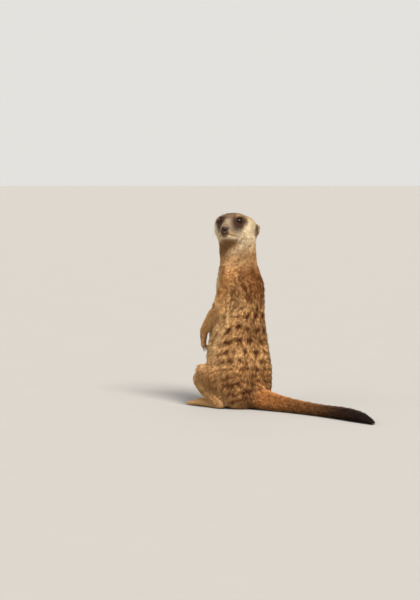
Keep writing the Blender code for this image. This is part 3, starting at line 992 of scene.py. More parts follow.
# %% [markdown]
# ## Length, width and thickness of the coat
#
# Hair is shortest on the face and feet and longest on the back. Where the skin is bare, round the
# eyes, on the nose, in the mouth and under the feet, none grows.

# %% Measures of the coat
BARE_SOLE = 0.7 * MM
BREADTH_BASE, BREADTH_SHARE = 0.30 * MM, 0.085
HEAD_LENGTH = 4.0
SHORTEST = 0.8 * MM

face_length = 1.1 + 3.2 * region(at, from_nose=(8, 52))
face_length = face_length * (0.4 + 0.6 * smooth_step(0.06, 0.45, rim_gap))
length = per_zone(head=HEAD_LENGTH, ear=1.6, neck=6.5, chest=7.5, abdomen=8.5, upper_arm=7, forearm=5.6,
                  hand=1.7, thigh=7.5, shank=4.6, hind_foot=2, tail=6.5)
on_face = np.where(on_head > 0.02, on_head * (1 - on_ear), 0)
length = (length + on_face * (face_length - HEAD_LENGTH)) * MM
length = length * (1 - 0.4 * (1 - on_head) * region(at, from_head=(62, 32)))
length = np.maximum(length * (1 + 0.08 * clouds(points, 12 * MM, 6)), SHORTEST)
breadth = BREADTH_BASE + BREADTH_SHARE * length
mottle = per_zone(head=0.25, ear=0.3, neck=0.6, chest=1, abdomen=1, upper_arm=0.8, forearm=0.6,
                  hand=0.3, thigh=0.9, shank=0.6, hind_foot=0.3, tail=0.8)
mottle = mottle * (1 - 0.6 * belly)
density = 1.0 - bare
density *= smooth_step(3.6, 4.3, distance(points, PAD_CENTRE) / MM)
density *= 1 - 0.9 * smooth_step(0.3, 0.8, lip)
density *= 1 - 0.7 * smooth_step(0.5, 0.9, digit_groove)
density *= smooth_step(BARE_SOLE, 2 * BARE_SOLE, height)
print("coat length, mm:", (length.min() / MM).round(2), "to", (length.max() / MM).round(2))

# %% [markdown]
# ## Coat pieces
#
# One coat would hold too many faces, so it is grown in pieces, each over its own stretch of skin.
# They meet without a gap, because each face of the skin belongs to just one of them.

# %% Where each coat piece grows
COATS = ["face", "crown", "ears", "neck", "chest", "back", "belly", "arms", "legs", "tail"]
COAT_OF_ZONE = {"head": "crown", "ear": "ears", "neck": "neck", "chest": "chest", "abdomen": "back",
                "upper_arm": "arms", "forearm": "arms", "hand": "arms", "thigh": "legs",
                "shank": "legs", "hind_foot": "legs", "tail": "tail"}
FACE_START = 6.0

coat_at = np.array([COATS.index(COAT_OF_ZONE[zone]) for zone in ZONES])[zone_of_part[part_at]]
coat_at[(coat_at == COATS.index("crown")) & (at["forward"] > FACE_START)] = COATS.index("face")
coat_at[(coat_at == COATS.index("back")) & (at["from_spine"] > math.pi / 2)] = COATS.index("belly")
first_corner = read(skin.data.loops, "vertex_index", kind=np.int32)[::3]


def write(mesh, name, kind, domain, values):
    """Stores one value for each corner or face of a mesh under a name."""
    key = "vector" if kind == "FLOAT_VECTOR" else "value"
    flat = np.ascontiguousarray(values, np.int32 if kind == "INT" else np.float32).ravel()
    mesh.attributes.new(name, kind, domain).data.foreach_set(key, flat)


tone = 0.5 + 0.5 * clouds(points, 14 * MM, 7)
write(skin.data, "coat", "INT", "FACE", coat_at[first_corner])
write(skin.data, "part", "INT", "FACE", part_at[first_corner])
for name, values in (("lie", lie), ("marks_a", np.column_stack([cream, grey, rufous])),
                     ("marks_b", np.column_stack([band, brown, dark])),
                     ("marks_c", np.column_stack([black, tone, 0.5 + 0.5 * streak]))):
    write(skin.data, name, "FLOAT_VECTOR", "POINT", values)
for name, values in (("length", length), ("breadth", breadth), ("density", density), ("bare", bare),
                     ("mottle", mottle)):
    write(skin.data, name, "FLOAT", "POINT", values)
print("skin faces per coat:", dict(zip(COATS, np.bincount(coat_at[first_corner]).tolist())))

# %% [markdown]
# ## Nodes in one line
#
# Geometry and material trees are both built from nodes. One small helper adds a node, sets its
# values and links its inputs: a socket given as a value is linked, anything else is typed in.

# %% A helper for nodes


def add(tree, kind, inputs=None, **settings):
    """Adds a node. Its inputs are named or numbered and hold a value or another node's socket."""
    node = tree.nodes.new(kind)
    for key, value in settings.items():
        setattr(node, key, value)
    for key, value in (inputs or {}).items():
        if isinstance(value, bpy.types.NodeSocket):
            tree.links.new(value, node.inputs[key])
        else:
            node.inputs[key].default_value = value
    return node


def linear(code):
    """A colour code such as #aabbcc as the linear light that materials work in."""
    parts = [int(code[start:start + 2], 16) / 255 for start in (1, 3, 5)]
    light = [part / 12.92 if part <= 0.04045 else ((part + 0.055) / 1.055) ** 2.4 for part in parts]
    return (*light, 1.0)


print("mid grey in linear light:", [round(value, 3) for value in linear("#808080")])


# %% [markdown]
# ## One tuft
#
# Fine hairs cling together in little pointed locks. A tuft is three closed spikes that share a
# root: a bent one in the middle and a straight one on either side. It is drawn one unit long, and
# each copy is stretched to the coat's length and width where it grows.

# %% The tuft
TIP_RISE = 0.34
SPIKE_HALF = 0.36
ROOT_NARROWING = 0.8
SPIKES = [((-0.05, 0, -0.05), (1, 0, TIP_RISE), SPIKE_HALF, (0.42, 0, 0.20)),
          ((0.03, 0.42, -0.05), (0.88, 0.66, TIP_RISE * 0.82), SPIKE_HALF * 0.8, None),
          ((-0.02, -0.42, -0.05), (0.74, -0.72, TIP_RISE * 0.95), SPIKE_HALF * 0.8, None)]


def spike(work, start, end, half, bend):
    """A closed three-sided spike from a root to a tip, with a ring of corners at a bend."""
    rings = []
    for x, y, z in [start] + ([bend] if bend else []):
        width = half * (ROOT_NARROWING if bend and not rings else 1.0)
        ring = [(x, y - width, z), (x, y + width, z), (x, y, z + 0.05)]
        rings.append([work.verts.new(corner) for corner in ring])
    tip = work.verts.new(end)
    work.faces.new(rings[0][::-1])
    for number in range(3):
        after = (number + 1) % 3
        for low, high in zip(rings, rings[1:]):
            work.faces.new([low[number], low[after], high[after], high[number]])
        work.faces.new([rings[-1][number], rings[-1][after], tip])


def tuft_object():
    """The tuft as a mesh that also knows how far along the hair each corner lies."""
    work = bmesh.new()
    for start, end, half, bend in SPIKES:
        spike(work, start, end, half, bend)
    bmesh.ops.triangulate(work, faces=work.faces)
    mesh = bpy.data.meshes.new("tuft")
    work.to_mesh(mesh)
    work.free()
    corners = points_of(mesh)
    along = np.clip(corners[:, 0], 0, 1)
    slot_across = 0.5 + 0.45 * corners[:, 1] + 0.08 * (corners[:, 2] > 0) * (corners[:, 0] < 0.6)
    write(mesh, "along", "FLOAT", "POINT", along)
    write(mesh, "patch", "FLOAT_VECTOR", "POINT", np.column_stack([slot_across, along, 0 * along]))
    return new_object("tuft", mesh)


tuft = tuft_object()
print("tuft:", len(tuft.data.polygons), "triangles")

# %% [markdown]
# ## Growing tufts with Geometry Nodes
#
# Hair repeats over a surface, and Geometry Nodes are made for that. The tree scatters roots evenly
# over one stretch of skin, turns a tuft at each root so that it stands on the skin and points along
# the lie, stretches it, and turns all copies into one real mesh.

# %% Roots, turns and shades
TWIST = math.radians(9)
LIFT = math.radians(5)
LENGTH_SPREAD = 0.78, 1.15
LOCK_SIZE = 3.0 * MM
LOCK_SHARE = 0.68
LOCK_TWIST = math.radians(34)
LOCK_LIFT = math.radians(10)
ROOTS_OFFERED = 2.2
EVEN_SHADE = 0.6


def scattered_roots(tree, given, told):
    """Roots spread evenly over one stretch of skin, thinner where little hair grows."""
    here = add(tree, "FunctionNodeCompare", {2: told["coat"], 3: given["Coat"]},
               data_type="INT", operation="EQUAL")
    close = add(tree, "ShaderNodeMath", {0: given["Spacing"], 1: given["Spacing"]}, operation="MULTIPLY")
    most = add(tree, "ShaderNodeMath", {0: ROOTS_OFFERED, 1: close.outputs[0]}, operation="DIVIDE")
    return add(tree, "GeometryNodeDistributePointsOnFaces",
               {"Mesh": given["Geometry"], "Selection": here.outputs[0], "Distance Min": given["Spacing"],
                "Density Max": most.outputs[0], "Density Factor": told["density"],
                "Seed": given["Seed"]}, distribute_method="POISSON").outputs


def turn_of_tufts(tree, told, normal):
    """Stands each tuft on the skin along the lie, sways it with its lock and a little on its own."""
    stand = add(tree, "FunctionNodeAxesToRotation", {"Primary Axis": normal, "Secondary Axis": told["lie"]},
                primary_axis="Z", secondary_axis="X")
    own = add(tree, "FunctionNodeRandomValue", {0: (0, -LIFT, -TWIST), 1: (0, LIFT, TWIST), "Seed": 3},
              data_type="FLOAT_VECTOR")
    sway = add(tree, "ShaderNodeTexNoise", {"Scale": 1 / (1.6 * LOCK_SIZE), "Detail": 0.0})
    centred = add(tree, "ShaderNodeVectorMath", {0: sway.outputs["Color"], 1: (0.5, 0.5, 0.5)},
                  operation="SUBTRACT")
    loose = add(tree, "ShaderNodeVectorMath",
                {0: (0, 2 * LOCK_LIFT, 2 * LOCK_TWIST), "Scale": told["mottle"]}, operation="SCALE")
    swayed = add(tree, "ShaderNodeVectorMath", {0: centred.outputs[0], 1: loose.outputs[0],
                                                2: own.outputs[0]}, operation="MULTIPLY_ADD")
    turn = add(tree, "FunctionNodeEulerToRotation", {0: swayed.outputs[0]})
    return add(tree, "FunctionNodeRotateRotation", {0: stand.outputs[0], 1: turn.outputs[0]},
               rotation_space="LOCAL").outputs[0]


def size_of_tufts(tree, told):
    """Length, breadth and height of each tuft."""
    stretch = add(tree, "FunctionNodeRandomValue", {2: LENGTH_SPREAD[0], 3: LENGTH_SPREAD[1], "Seed": 4})
    long = add(tree, "ShaderNodeMath", {0: told["length"], 1: stretch.outputs[1]}, operation="MULTIPLY")
    return add(tree, "ShaderNodeCombineXYZ", {0: long.outputs[0], 1: told["breadth"],
                                              2: long.outputs[0]}).outputs[0]


def shade_of_tufts(tree, told):
    """How light each tuft is, from 0 to 1: partly its own, partly its lock's."""
    own = add(tree, "FunctionNodeRandomValue", {"Seed": 5})
    lock = add(tree, "ShaderNodeTexNoise", {"Scale": 1 / LOCK_SIZE, "Detail": 1.0})
    lock_shade = add(tree, "ShaderNodeMapRange", {0: lock.outputs["Fac"], "From Min": 0.36,
                                                  "From Max": 0.64})
    shade = add(tree, "ShaderNodeMix", {0: LOCK_SHARE, 2: own.outputs[1], 3: lock_shade.outputs[0]})
    return add(tree, "ShaderNodeMix", {0: told["mottle"], 2: EVEN_SHADE, 3: shade.outputs[0]}).outputs[0]


print("locks are", round(LOCK_SIZE / MM, 1), "mm wide")

# %% [markdown]
# The tree itself reads the stored measures, scatters the roots, sets a tuft on each, and writes each
# tuft's shade and root on it before the copies become one mesh with the hair material.

# %% The tree that grows a coat
TREE_INPUTS = {"Geometry": "Geometry", "Tuft": "Object", "Coat": "Int", "Spacing": "Float",
               "Seed": "Int", "Hair": "Material"}
STORED = {"coat": "INT", "density": "FLOAT", "lie": "FLOAT_VECTOR", "mottle": "FLOAT",
          "length": "FLOAT", "breadth": "FLOAT"}


def coat_tree():
    """A Geometry Nodes tree with named inputs that grows tufts over one stretch of skin."""
    tree = bpy.data.node_groups.new("tufts_over_skin", "GeometryNodeTree")
    for name, kind in TREE_INPUTS.items():
        tree.interface.new_socket(name, in_out="INPUT", socket_type="NodeSocket" + kind)
    tree.interface.new_socket("Geometry", in_out="OUTPUT", socket_type="NodeSocketGeometry")
    given = add(tree, "NodeGroupInput").outputs
    told = {name: add(tree, "GeometryNodeInputNamedAttribute", {"Name": name}, data_type=kind).outputs[0]
            for name, kind in STORED.items()}
    roots = scattered_roots(tree, given, told)
    shape = add(tree, "GeometryNodeObjectInfo", {"Object": given["Tuft"]})
    copies = add(tree, "GeometryNodeInstanceOnPoints",
                 {"Points": roots["Points"], "Instance": shape.outputs["Geometry"],
                  "Rotation": turn_of_tufts(tree, told, roots["Normal"]),
                  "Scale": size_of_tufts(tree, told)})
    shaded = add(tree, "GeometryNodeStoreNamedAttribute",
                 {"Geometry": copies.outputs[0], "Name": "shade", "Value": shade_of_tufts(tree, told)},
                 domain="INSTANCE")
    spot = add(tree, "GeometryNodeInputPosition")
    rooted = add(tree, "GeometryNodeStoreNamedAttribute",
                 {"Geometry": shaded.outputs[0], "Name": "root", "Value": spot.outputs[0]},
                 data_type="FLOAT_VECTOR", domain="INSTANCE")
    real = add(tree, "GeometryNodeRealizeInstances", {"Geometry": rooted.outputs[0]})
    haired = add(tree, "GeometryNodeSetMaterial", {"Geometry": real.outputs[0], "Material": given["Hair"]})
    add(tree, "NodeGroupOutput", {"Geometry": haired.outputs[0]})
    return tree


def input_key(tree, name):
    """The identifier by which a modifier knows one of the tree's named inputs."""
    return next(item.identifier for item in tree.interface.items_tree
                if item.name == name and item.in_out == "INPUT")


growth = coat_tree()
print("nodes in the coat's tree:", len(growth.nodes))

# %% [markdown]
# ## The colours of skin and hair
#
# Both materials share one rule: start from the sandy ground colour and paint each marking over it by its
# number. Hair then gets a darker root and a paler tip, the root partly as the darker underfur and partly as
# painted shade between the tufts, and every tuft is a little lighter or darker than the next, which gives
# the coat its grizzled look.

# %% Colours
# RUFOUS and BROWN also paint the shadow under the chin, BROWN the shade in finger and toe grooves and on
# the hands, and DARK the shade under the nose and in the crease below each ear.
SAND, CREAM, GREY, RUFOUS = "#e8bd82", "#f6e7c6", "#644e3f", "#a36a36"
BAND, BROWN, DARK, BLACK = "#693a1b", "#6b4a30", "#432a1a", "#1f120b"
MARKS = {"marks_a": (CREAM, GREY, RUFOUS), "marks_b": (BAND, BROWN, DARK), "marks_c": (BLACK,)}
FACTOR, BELOW, ABOVE, RESULT = 0, 6, 7, 2


def marked_colour(tree):
    """The colour of the coat before the shade of single hairs, and where its streaks are."""
    colour = linear(SAND)
    for name, codes in MARKS.items():
        stored = add(tree, "ShaderNodeAttribute", attribute_name=name)
        amounts = add(tree, "ShaderNodeSeparateXYZ", {0: stored.outputs["Vector"]}).outputs
        for amount, code in zip(amounts, codes):
            colour = add(tree, "ShaderNodeMix", {FACTOR: amount, BELOW: colour, ABOVE: linear(code)},
                         data_type="RGBA").outputs[RESULT]
    _, tone_at, streak_at = amounts
    light = add(tree, "ShaderNodeMapRange", {"Value": tone_at, "To Min": 0.88, "To Max": 1.12})
    toned = add(tree, "ShaderNodeHueSaturation", {"Value": light.outputs[0], "Color": colour})
    return toned.outputs[0], streak_at


def new_material(name, **settings):
    """An empty node material with a Principled surface whose plain numbers are set on it."""
    material = bpy.data.materials.new(name)
    material.use_nodes = True
    tree = material.node_tree
    surface = tree.nodes["Principled BSDF"]
    for key, value in settings.items():
        surface.inputs[key.replace("_", " ").title().replace("Ior", "IOR")].default_value = value
    return material, tree, surface


print("colours laid over the sand:", sum(len(codes) for codes in MARKS.values()))

# %% [markdown]
# ## Hair
#
# Hair is a smooth dry fibre: it has a soft, wide gloss and no hard highlight. The gloss is kept low,
# because the coat is dusty.

# %% Hair material
UNDER_AND_SHADE_TINT = "#a08a74"
TIP_LIGHT = 1.18
SHADE_SHARE, ALONG_SHARE, STREAK_SHARE, SHARE_START = 0.95, 0.50, 1.5, -1.00


def hair_material():
    """Guard hair: marked colour, dark at the root as underfur and as painted shade between tufts, pale at
    the tip, each tuft in its own shade.
    """
    material, tree, surface = new_material("guard_hair", roughness=0.6, specular_ior_level=0.16)
    colour, streak_at = marked_colour(tree)
    shade_at = add(tree, "ShaderNodeAttribute", attribute_name="shade").outputs["Fac"]
    along_at = add(tree, "ShaderNodeAttribute", attribute_name="along").outputs["Fac"]
    from_streak = add(tree, "ShaderNodeMath", {0: streak_at, 1: STREAK_SHARE, 2: SHARE_START},
                      operation="MULTIPLY_ADD")
    from_shade = add(tree, "ShaderNodeMath", {0: shade_at, 1: SHADE_SHARE, 2: from_streak.outputs[0]},
                     operation="MULTIPLY_ADD")
    lightness = add(tree, "ShaderNodeMath", {0: along_at, 1: ALONG_SHARE, 2: from_shade.outputs[0]},
                    operation="MULTIPLY_ADD", use_clamp=True)
    # Roots are darker as the underfur is, and also as painted shade between the tufts.
    under = add(tree, "ShaderNodeMix", {FACTOR: 1.0, BELOW: colour, ABOVE: linear(UNDER_AND_SHADE_TINT)},
                data_type="RGBA", blend_type="MULTIPLY")
    bright = add(tree, "ShaderNodeHueSaturation", {"Value": TIP_LIGHT, "Color": colour})
    lit = add(tree, "ShaderNodeMix", {FACTOR: lightness.outputs[0], BELOW: under.outputs[RESULT],
                                      ABOVE: bright.outputs[0]}, data_type="RGBA")
    tree.links.new(lit.outputs[RESULT], surface.inputs["Base Color"])
    return material


hair = hair_material()
print("material:", hair.name)

# %% [markdown]
# ## Skin under the hair
#
# Between the tufts the underwool shows, darker than the tips, partly as its own colour and partly as
# painted shade between the tufts. Round the eyes and the lips the skin is bare, dark and slightly moist, so
# it is smoother there.

# %% Skin material
WOOL_GRAIN = 0.7 * MM
BARE_SKIN = "#120b08"


def skin_material():
    """Short underwool over skin: the marked colour, darker as underwool and as painted shade between tufts,
    with a fine felted bump.
    """
    material, tree, surface = new_material("underwool_and_skin", roughness=0.7, specular_ior_level=0.12)
    colour, _ = marked_colour(tree)
    bare_at = add(tree, "ShaderNodeAttribute", attribute_name="bare").outputs["Fac"]
    place_at = add(tree, "ShaderNodeTexCoord").outputs["Object"]
    wool = add(tree, "ShaderNodeTexNoise", {"Vector": place_at, "Scale": 1 / WOOL_GRAIN, "Detail": 3.0})
    # The underwool is dimmed partly as its own darker colour and partly as painted shade between the tufts.
    value = add(tree, "ShaderNodeMapRange", {"Value": wool.outputs["Fac"], "From Min": 0.3, "From Max": 0.7,
                                             "To Min": 0.55, "To Max": 0.85})
    dim = add(tree, "ShaderNodeHueSaturation", {"Value": value.outputs[0], "Color": colour})
    shown = add(tree, "ShaderNodeMix", {FACTOR: bare_at, BELOW: dim.outputs[0], ABOVE: linear(BARE_SKIN)},
                data_type="RGBA")
    tree.links.new(shown.outputs[RESULT], surface.inputs["Base Color"])
    gloss = add(tree, "ShaderNodeMapRange", {"Value": bare_at, "To Min": 0.72, "To Max": 0.55})
    tree.links.new(gloss.outputs[0], surface.inputs["Roughness"])
    bump = add(tree, "ShaderNodeBump", {"Strength": 0.5, "Distance": 0.4 * MM,
                                        "Height": wool.outputs["Fac"]})
    tree.links.new(bump.outputs[0], surface.inputs["Normal"])
    return material


skin.data.materials.clear()
skin.data.materials.append(skin_material())
skin.data.shade_smooth()
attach(skin, "root")
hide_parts(*[node for node in FLESH if node != "nose"])
print("material:", skin.data.materials[0].name)

# %% [markdown]
# ## A map for each coat piece
#
# A finished coat piece carries the map OFBake, on which its colours can be kept. It gives each tuft
# a small patch at the place of its root on an unwrap of the part that it grows from: once round the
# part is the map's width, and its length is the height.

# %% The bake map
PATCH = 0.003
PART_MARGIN = 2 * MM
UPRIGHT = np.array([0.0, 0.0, 1.0])
ANY_WAY = np.array([0.37, 0.81, 0.21])


def part_frame(node):
    """The middle of a part, its length direction, two directions across and its half length."""
    corners = points_of(NODES[node].data)
    middle = (corners.min(axis=0) + corners.max(axis=0)) / 2
    axis = np.linalg.svd(corners - middle, full_matrices=False)[2][0]
    axis = HEAD_FORWARD if node == "head" else axis
    axis = UPRIGHT if ZONES[zone_of(node)] in TRUNK else axis
    across = unit(np.cross(axis, ANY_WAY))
    half = np.abs((corners - middle) @ axis).max() + PART_MARGIN
    return middle, axis, across, np.cross(axis, across), half


def unwrapped(roots, numbers):
    """Where each root lies on an unwrap of its part; each part of a piece has its own column."""
    present = np.unique(numbers)
    place_on_map = np.zeros((len(roots), 2))
    for column, number in enumerate(present):
        middle, axis, across, third, half = part_frame(PARTS[number])
        here = numbers == number
        offset = roots[here] - middle
        around_part = np.arctan2(offset @ third, offset @ across) / (2 * math.pi) + 0.5
        along = 0.5 + 0.5 * (offset @ axis) / half
        place_on_map[here, 0] = (column + 0.02 + 0.94 * np.clip(around_part, 0, 1)) / len(present)
        place_on_map[here, 1] = 0.01 + 0.97 * np.clip(along, 0, 1)
    return place_on_map


def add_bake_map(mesh):
    """Gives every tuft its small patch on the unwrap of the skin."""
    roots = read(mesh.attributes["root"].data, "vector", 3)
    numbers = read(mesh.attributes["part"].data, "value", kind=np.int32)
    patches = read(mesh.attributes["patch"].data, "vector", 3)[:, :2]
    place_on_map = unwrapped(roots, numbers) + PATCH * patches
    corners = read(mesh.loops, "vertex_index", kind=np.int32)
    layer = mesh.uv_layers.new(name="OFBake")
    layer.uv.foreach_set("vector", place_on_map[corners].astype(np.float32).ravel())


print("parts on the map:", len(PARTS))

# %% [markdown]
# ## Growing the coat, piece by piece
#
# Each piece gets its own spacing: close on the face, wider on the trunk. The result is made a plain
# mesh. Tufts that would pass through the floor are bent along it, as the animal's weight bends them.

# %% Coat pieces
SPACING = {"face": 0.50, "crown": 0.62, "ears": 0.50, "neck": 0.68, "chest": 0.74, "back": 0.85,
           "belly": 0.92, "arms": 0.72, "legs": 0.85, "tail": 0.78}
FINISH = {"face": "face_fur", "crown": "face_fur", "ears": "ear_skin", "arms": "limb_fur",
          "legs": "limb_fur", "tail": "tail_fur"}
BENT_BELOW = 2 * MM
FIRST_SEED = 11
KEPT_VALUES = {"along", "shade", "marks_a", "marks_b", "marks_c", "OFBake"}


def bend_on_floor(mesh):
    """Bends the tufts that would pass through the floor, so that they lie along it."""
    corners = points_of(mesh)
    low = corners[:, 2] < BENT_BELOW
    corners[low, 2] = BENT_BELOW * np.exp(corners[low, 2] / BENT_BELOW - 1)
    place(mesh, corners)


def grow(number, name):
    """Grows one coat piece over its stretch of skin and returns it as a plain mesh object."""
    modifier = skin.modifiers.new(name, "NODES")
    modifier.node_group = growth
    given = {"Tuft": tuft, "Coat": number, "Spacing": SPACING[name] * MM, "Seed": FIRST_SEED + number,
             "Hair": hair}
    for key, value in given.items():
        modifier[input_key(growth, key)] = value
    graph = bpy.context.evaluated_depsgraph_get()
    mesh = bpy.data.meshes.new_from_object(skin.evaluated_get(graph), preserve_all_data_layers=True,
                                           depsgraph=graph)
    skin.modifiers.remove(modifier)
    mesh.name = "coat_" + name
    add_bake_map(mesh)
    bend_on_floor(mesh)
    for key in [item.name for item in mesh.attributes if not (item.is_required or item.is_internal)]:
        if key not in KEPT_VALUES:
            mesh.attributes.remove(mesh.attributes[key])
    mesh.materials.clear()
    mesh.materials.append(hair)
    mesh.shade_smooth()
    return new_object("coat_" + name, mesh)


coats = {}
for number, name in enumerate(COATS):
    coats[name] = grow(number, name)
    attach(coats[name], "root")
    FINISH.get(name, "body_fur")
    print(coats[name].name, len(coats[name].data.polygons), "triangles")
bpy.data.objects.remove(tuft)
print("coat in all:", sum(len(coat.data.polygons) for coat in coats.values()), "triangles")

# %% [markdown]
# ## Shapes made of rings
#
# Eyes, nose, claws and whiskers are all rings of corners, one after the other. These helpers give
# the turns of a ring's corners, the faces between rings, and the fan that closes an end, so that
# each shape only has to say where its rings are.

# %% Rings, tubes and fans


def around(steps):
    """The turns of a ring's corners, once round."""
    return [2 * math.pi * step / steps for step in range(steps)]


def tube(rings, steps):
    """The faces between rings of corners that follow each other in one list."""
    faces = []
    for low in range(0, (rings - 1) * steps, steps):
        for step in range(steps):
            after = (step + 1) % steps
            faces.append((low + step, low + after, low + steps + after, low + steps + step))
    return faces


def fan(start, steps, tip):
    """The faces from one ring to the corner that closes it."""
    return [(start + step, start + (step + 1) % steps, tip) for step in range(steps)]


def joined(shapes):
    """Several shapes, each given as corners and faces, as one."""
    corners, faces = [], []
    for new_corners, new_faces in shapes:
        faces += [tuple(index + len(corners) for index in face) for face in new_faces]
        corners += new_corners
    return corners, faces


def finished_mesh(name, corners, faces, values):
    """A smooth mesh without doubled corners, with outward faces and one stored number per corner."""
    mesh = bpy.data.meshes.new(name)
    mesh.from_pydata([tuple(corner) for corner in corners], [], faces)
    for key, numbers in values.items():
        write(mesh, key, "FLOAT", "POINT", numbers)
    work = bmesh.new()
    work.from_mesh(mesh)
    bmesh.ops.remove_doubles(work, verts=work.verts, dist=FINE)
    bmesh.ops.recalc_face_normals(work, faces=work.faces)
    work.to_mesh(mesh)
    work.free()
    mesh.shade_smooth()
    return new_object(name, mesh)


print("faces of a tube of 3 rings with 8 steps:", len(tube(3, 8)))

# %% [markdown]
# ## The eyes
#
# Each eye is a wet ball, nearly all of it dark brown iris, with a wide black pupil. The clear
# cornea stands out a little in front. The ball is turned on a lathe from its profile, and the
# distance from the middle of the pupil is stored on it, so that the colours follow the ball.

# %% Eye shape
EYE_RINGS, EYE_STEPS = 36, 56
CORNEA_HALF = math.radians(38)
CORNEA_RISE = 0.35 * MM
GAZE_FORWARD = 0.55


def ball_of_eye(side):
    """A closed ball with a raised cornea, looking out between the lids."""
    gaze = unit(EYE_AXES[side][2] + GAZE_FORWARD * HEAD_FORWARD)
    across = unit(np.cross(gaze, HEAD_UP))
    rise = np.cross(across, gaze)
    corners, turn_of = [], []
    for ring in range(1, EYE_RINGS):
        angle = math.pi * ring / EYE_RINGS
        radius = EYE_RADIUS + CORNEA_RISE * max(0.0, 1 - (angle / CORNEA_HALF) ** 2)
        for turn in around(EYE_STEPS):
            outward = math.cos(turn) * across + math.sin(turn) * rise
            corners.append(EYES[side] + radius * (math.cos(angle) * gaze + math.sin(angle) * outward))
            turn_of.append(ring / EYE_RINGS)
    front, last = len(corners), (EYE_RINGS - 2) * EYE_STEPS
    corners += [EYES[side] + (EYE_RADIUS + CORNEA_RISE) * gaze, EYES[side] - EYE_RADIUS * gaze]
    turn_of += [0.0, 1.0]
    faces = tube(EYE_RINGS - 1, EYE_STEPS) + fan(0, EYE_STEPS, front) + fan(last, EYE_STEPS, front + 1)
    return finished_mesh("eye_" + side + "_ball", corners, faces, {"turn": turn_of})


print("cornea stands out, mm:", round(CORNEA_RISE / MM, 2))

# %% [markdown]
# The eye's surface is a film of tears over clear cornea: almost a mirror. Fine spokes run through
# the iris.

# %% Eye material
IRIS = {0.10: "#050303", 0.115: "#150b07", 0.19: "#22130b", 0.24: "#150b07", 0.27: "#0d0705"}
SPOKE_GRAIN = 0.35 * MM


def eye_material():
    """Wet eye: black pupil, dark brown iris and a darker ring at its edge under a clear gloss."""
    material, tree, surface = new_material("wet_eye", roughness=0.04, specular_ior_level=0.3, ior=1.376)
    turn_at = add(tree, "ShaderNodeAttribute", attribute_name="turn").outputs["Fac"]
    ramp = add(tree, "ShaderNodeValToRGB", {0: turn_at})
    stops = ramp.color_ramp.elements
    stops[0].position, stops[1].position = min(IRIS), max(IRIS)
    for position in sorted(IRIS)[1:-1]:
        stops.new(position)
    for stop, position in zip(stops, sorted(IRIS)):
        stop.color = linear(IRIS[position])
    place_at = add(tree, "ShaderNodeTexCoord").outputs["Object"]
    spokes = add(tree, "ShaderNodeTexNoise", {"Vector": place_at, "Scale": 1 / SPOKE_GRAIN, "Detail": 2.0})
    value = add(tree, "ShaderNodeMapRange", {"Value": spokes.outputs["Fac"], "To Min": 0.75,
                                             "To Max": 1.25})
    colour = add(tree, "ShaderNodeHueSaturation", {"Value": value.outputs[0], "Color": ramp.outputs[0]})
    tree.links.new(colour.outputs[0], surface.inputs["Base Color"])
    return material


eye_finish = eye_material()
for side in EYES:
    ball = ball_of_eye(side)
    ball.data.materials.append(eye_finish)
    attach(ball, "root")
    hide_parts("eye_" + side)
    print(ball.name, len(ball.data.polygons), "faces")

# %% [markdown]
# ## The nose
#
# The nose leather is a small damp pad with two comma-shaped nostrils and a groove that runs down to
# the lip. It is a ball in the head's axes, pressed in where the nostrils and the groove are.

# %% Nose shape
NOSE_HALF = np.array([4.5, 4.3, 3.5]) * MM
NOSE_RINGS, NOSE_STEPS = 64, 96
NOSE_SQUARE, NOSE_FLAT = 0.10, 0.10
NOSTRIL_OUT, NOSTRIL_RISE, NOSTRIL_SIZE, NOSTRIL_DEPTH = 0.50, -0.05, 0.27, 0.22
NOSTRIL_LEAN = 0.25
GROOVE_HALF, GROOVE_DEPTH = 0.09, 0.13
GROOVE_TOP, GROOVE_FADE = 0.1, 0.12


def nose_surface(left, forward, up):
    """The pad's radius in one direction, as a share of the half size, and how much painted shade it gets
    there.
    """
    squared = 1 + NOSE_SQUARE * (left * up) ** 2 - NOSE_FLAT * max(up, 0) ** 2
    comma = (abs(left) - NOSTRIL_OUT - NOSTRIL_LEAN * max(up - NOSTRIL_RISE, 0),
             (up - NOSTRIL_RISE) * (0.75 if up < NOSTRIL_RISE + 0.2 else 1.2))
    pit = math.exp(-(math.hypot(*comma) / NOSTRIL_SIZE) ** 4) if forward > 0 else 0.0
    low = 1 / (1 + math.exp((up - GROOVE_TOP) / GROOVE_FADE))
    groove = math.exp(-(left / GROOVE_HALF) ** 2) * low if forward > -0.2 else 0.0
    # The pad's lower half, nostrils and groove are darkened as painted shade, so the top stays lighter as
    # if lit from above.
    return squared - NOSTRIL_DEPTH * pit - GROOVE_DEPTH * groove, max(pit, 0.6 * groove, low)


def nose_pad():
    """The pad as rings round the head's forward direction."""
    corners, painted_shade_at = [], []
    for ring in range(NOSE_RINGS + 1):
        angle = math.pi * ring / NOSE_RINGS
        for turn in around(NOSE_STEPS):
            direction = np.array([math.sin(angle) * math.cos(turn), math.cos(angle),
                                  math.sin(angle) * math.sin(turn)])
            radius, painted_shade = nose_surface(*direction)
            corners.append(PAD_CENTRE + direction * radius * NOSE_HALF @ HEAD_AXES)
            painted_shade_at.append(painted_shade)
    return finished_mesh("nose_pad", corners, tube(NOSE_RINGS + 1, NOSE_STEPS), {"pit": painted_shade_at})


print("nose pad, mm:", (2 * NOSE_HALF / MM).round(1))

# %% [markdown]
# Nose leather is hairless skin with a grain of tiny plates, always a little wet. Its top is painted lighter
# as lit, and its lower half, nostrils and groove darker as painted shade.

# %% Nose material
LEATHER_GRAIN = 0.45 * MM
# The leather's painted lit top, and its painted shade below, in the nostrils and in the groove.
LEATHER_LIT, LEATHER_SHADED = "#543d30", "#140a06"


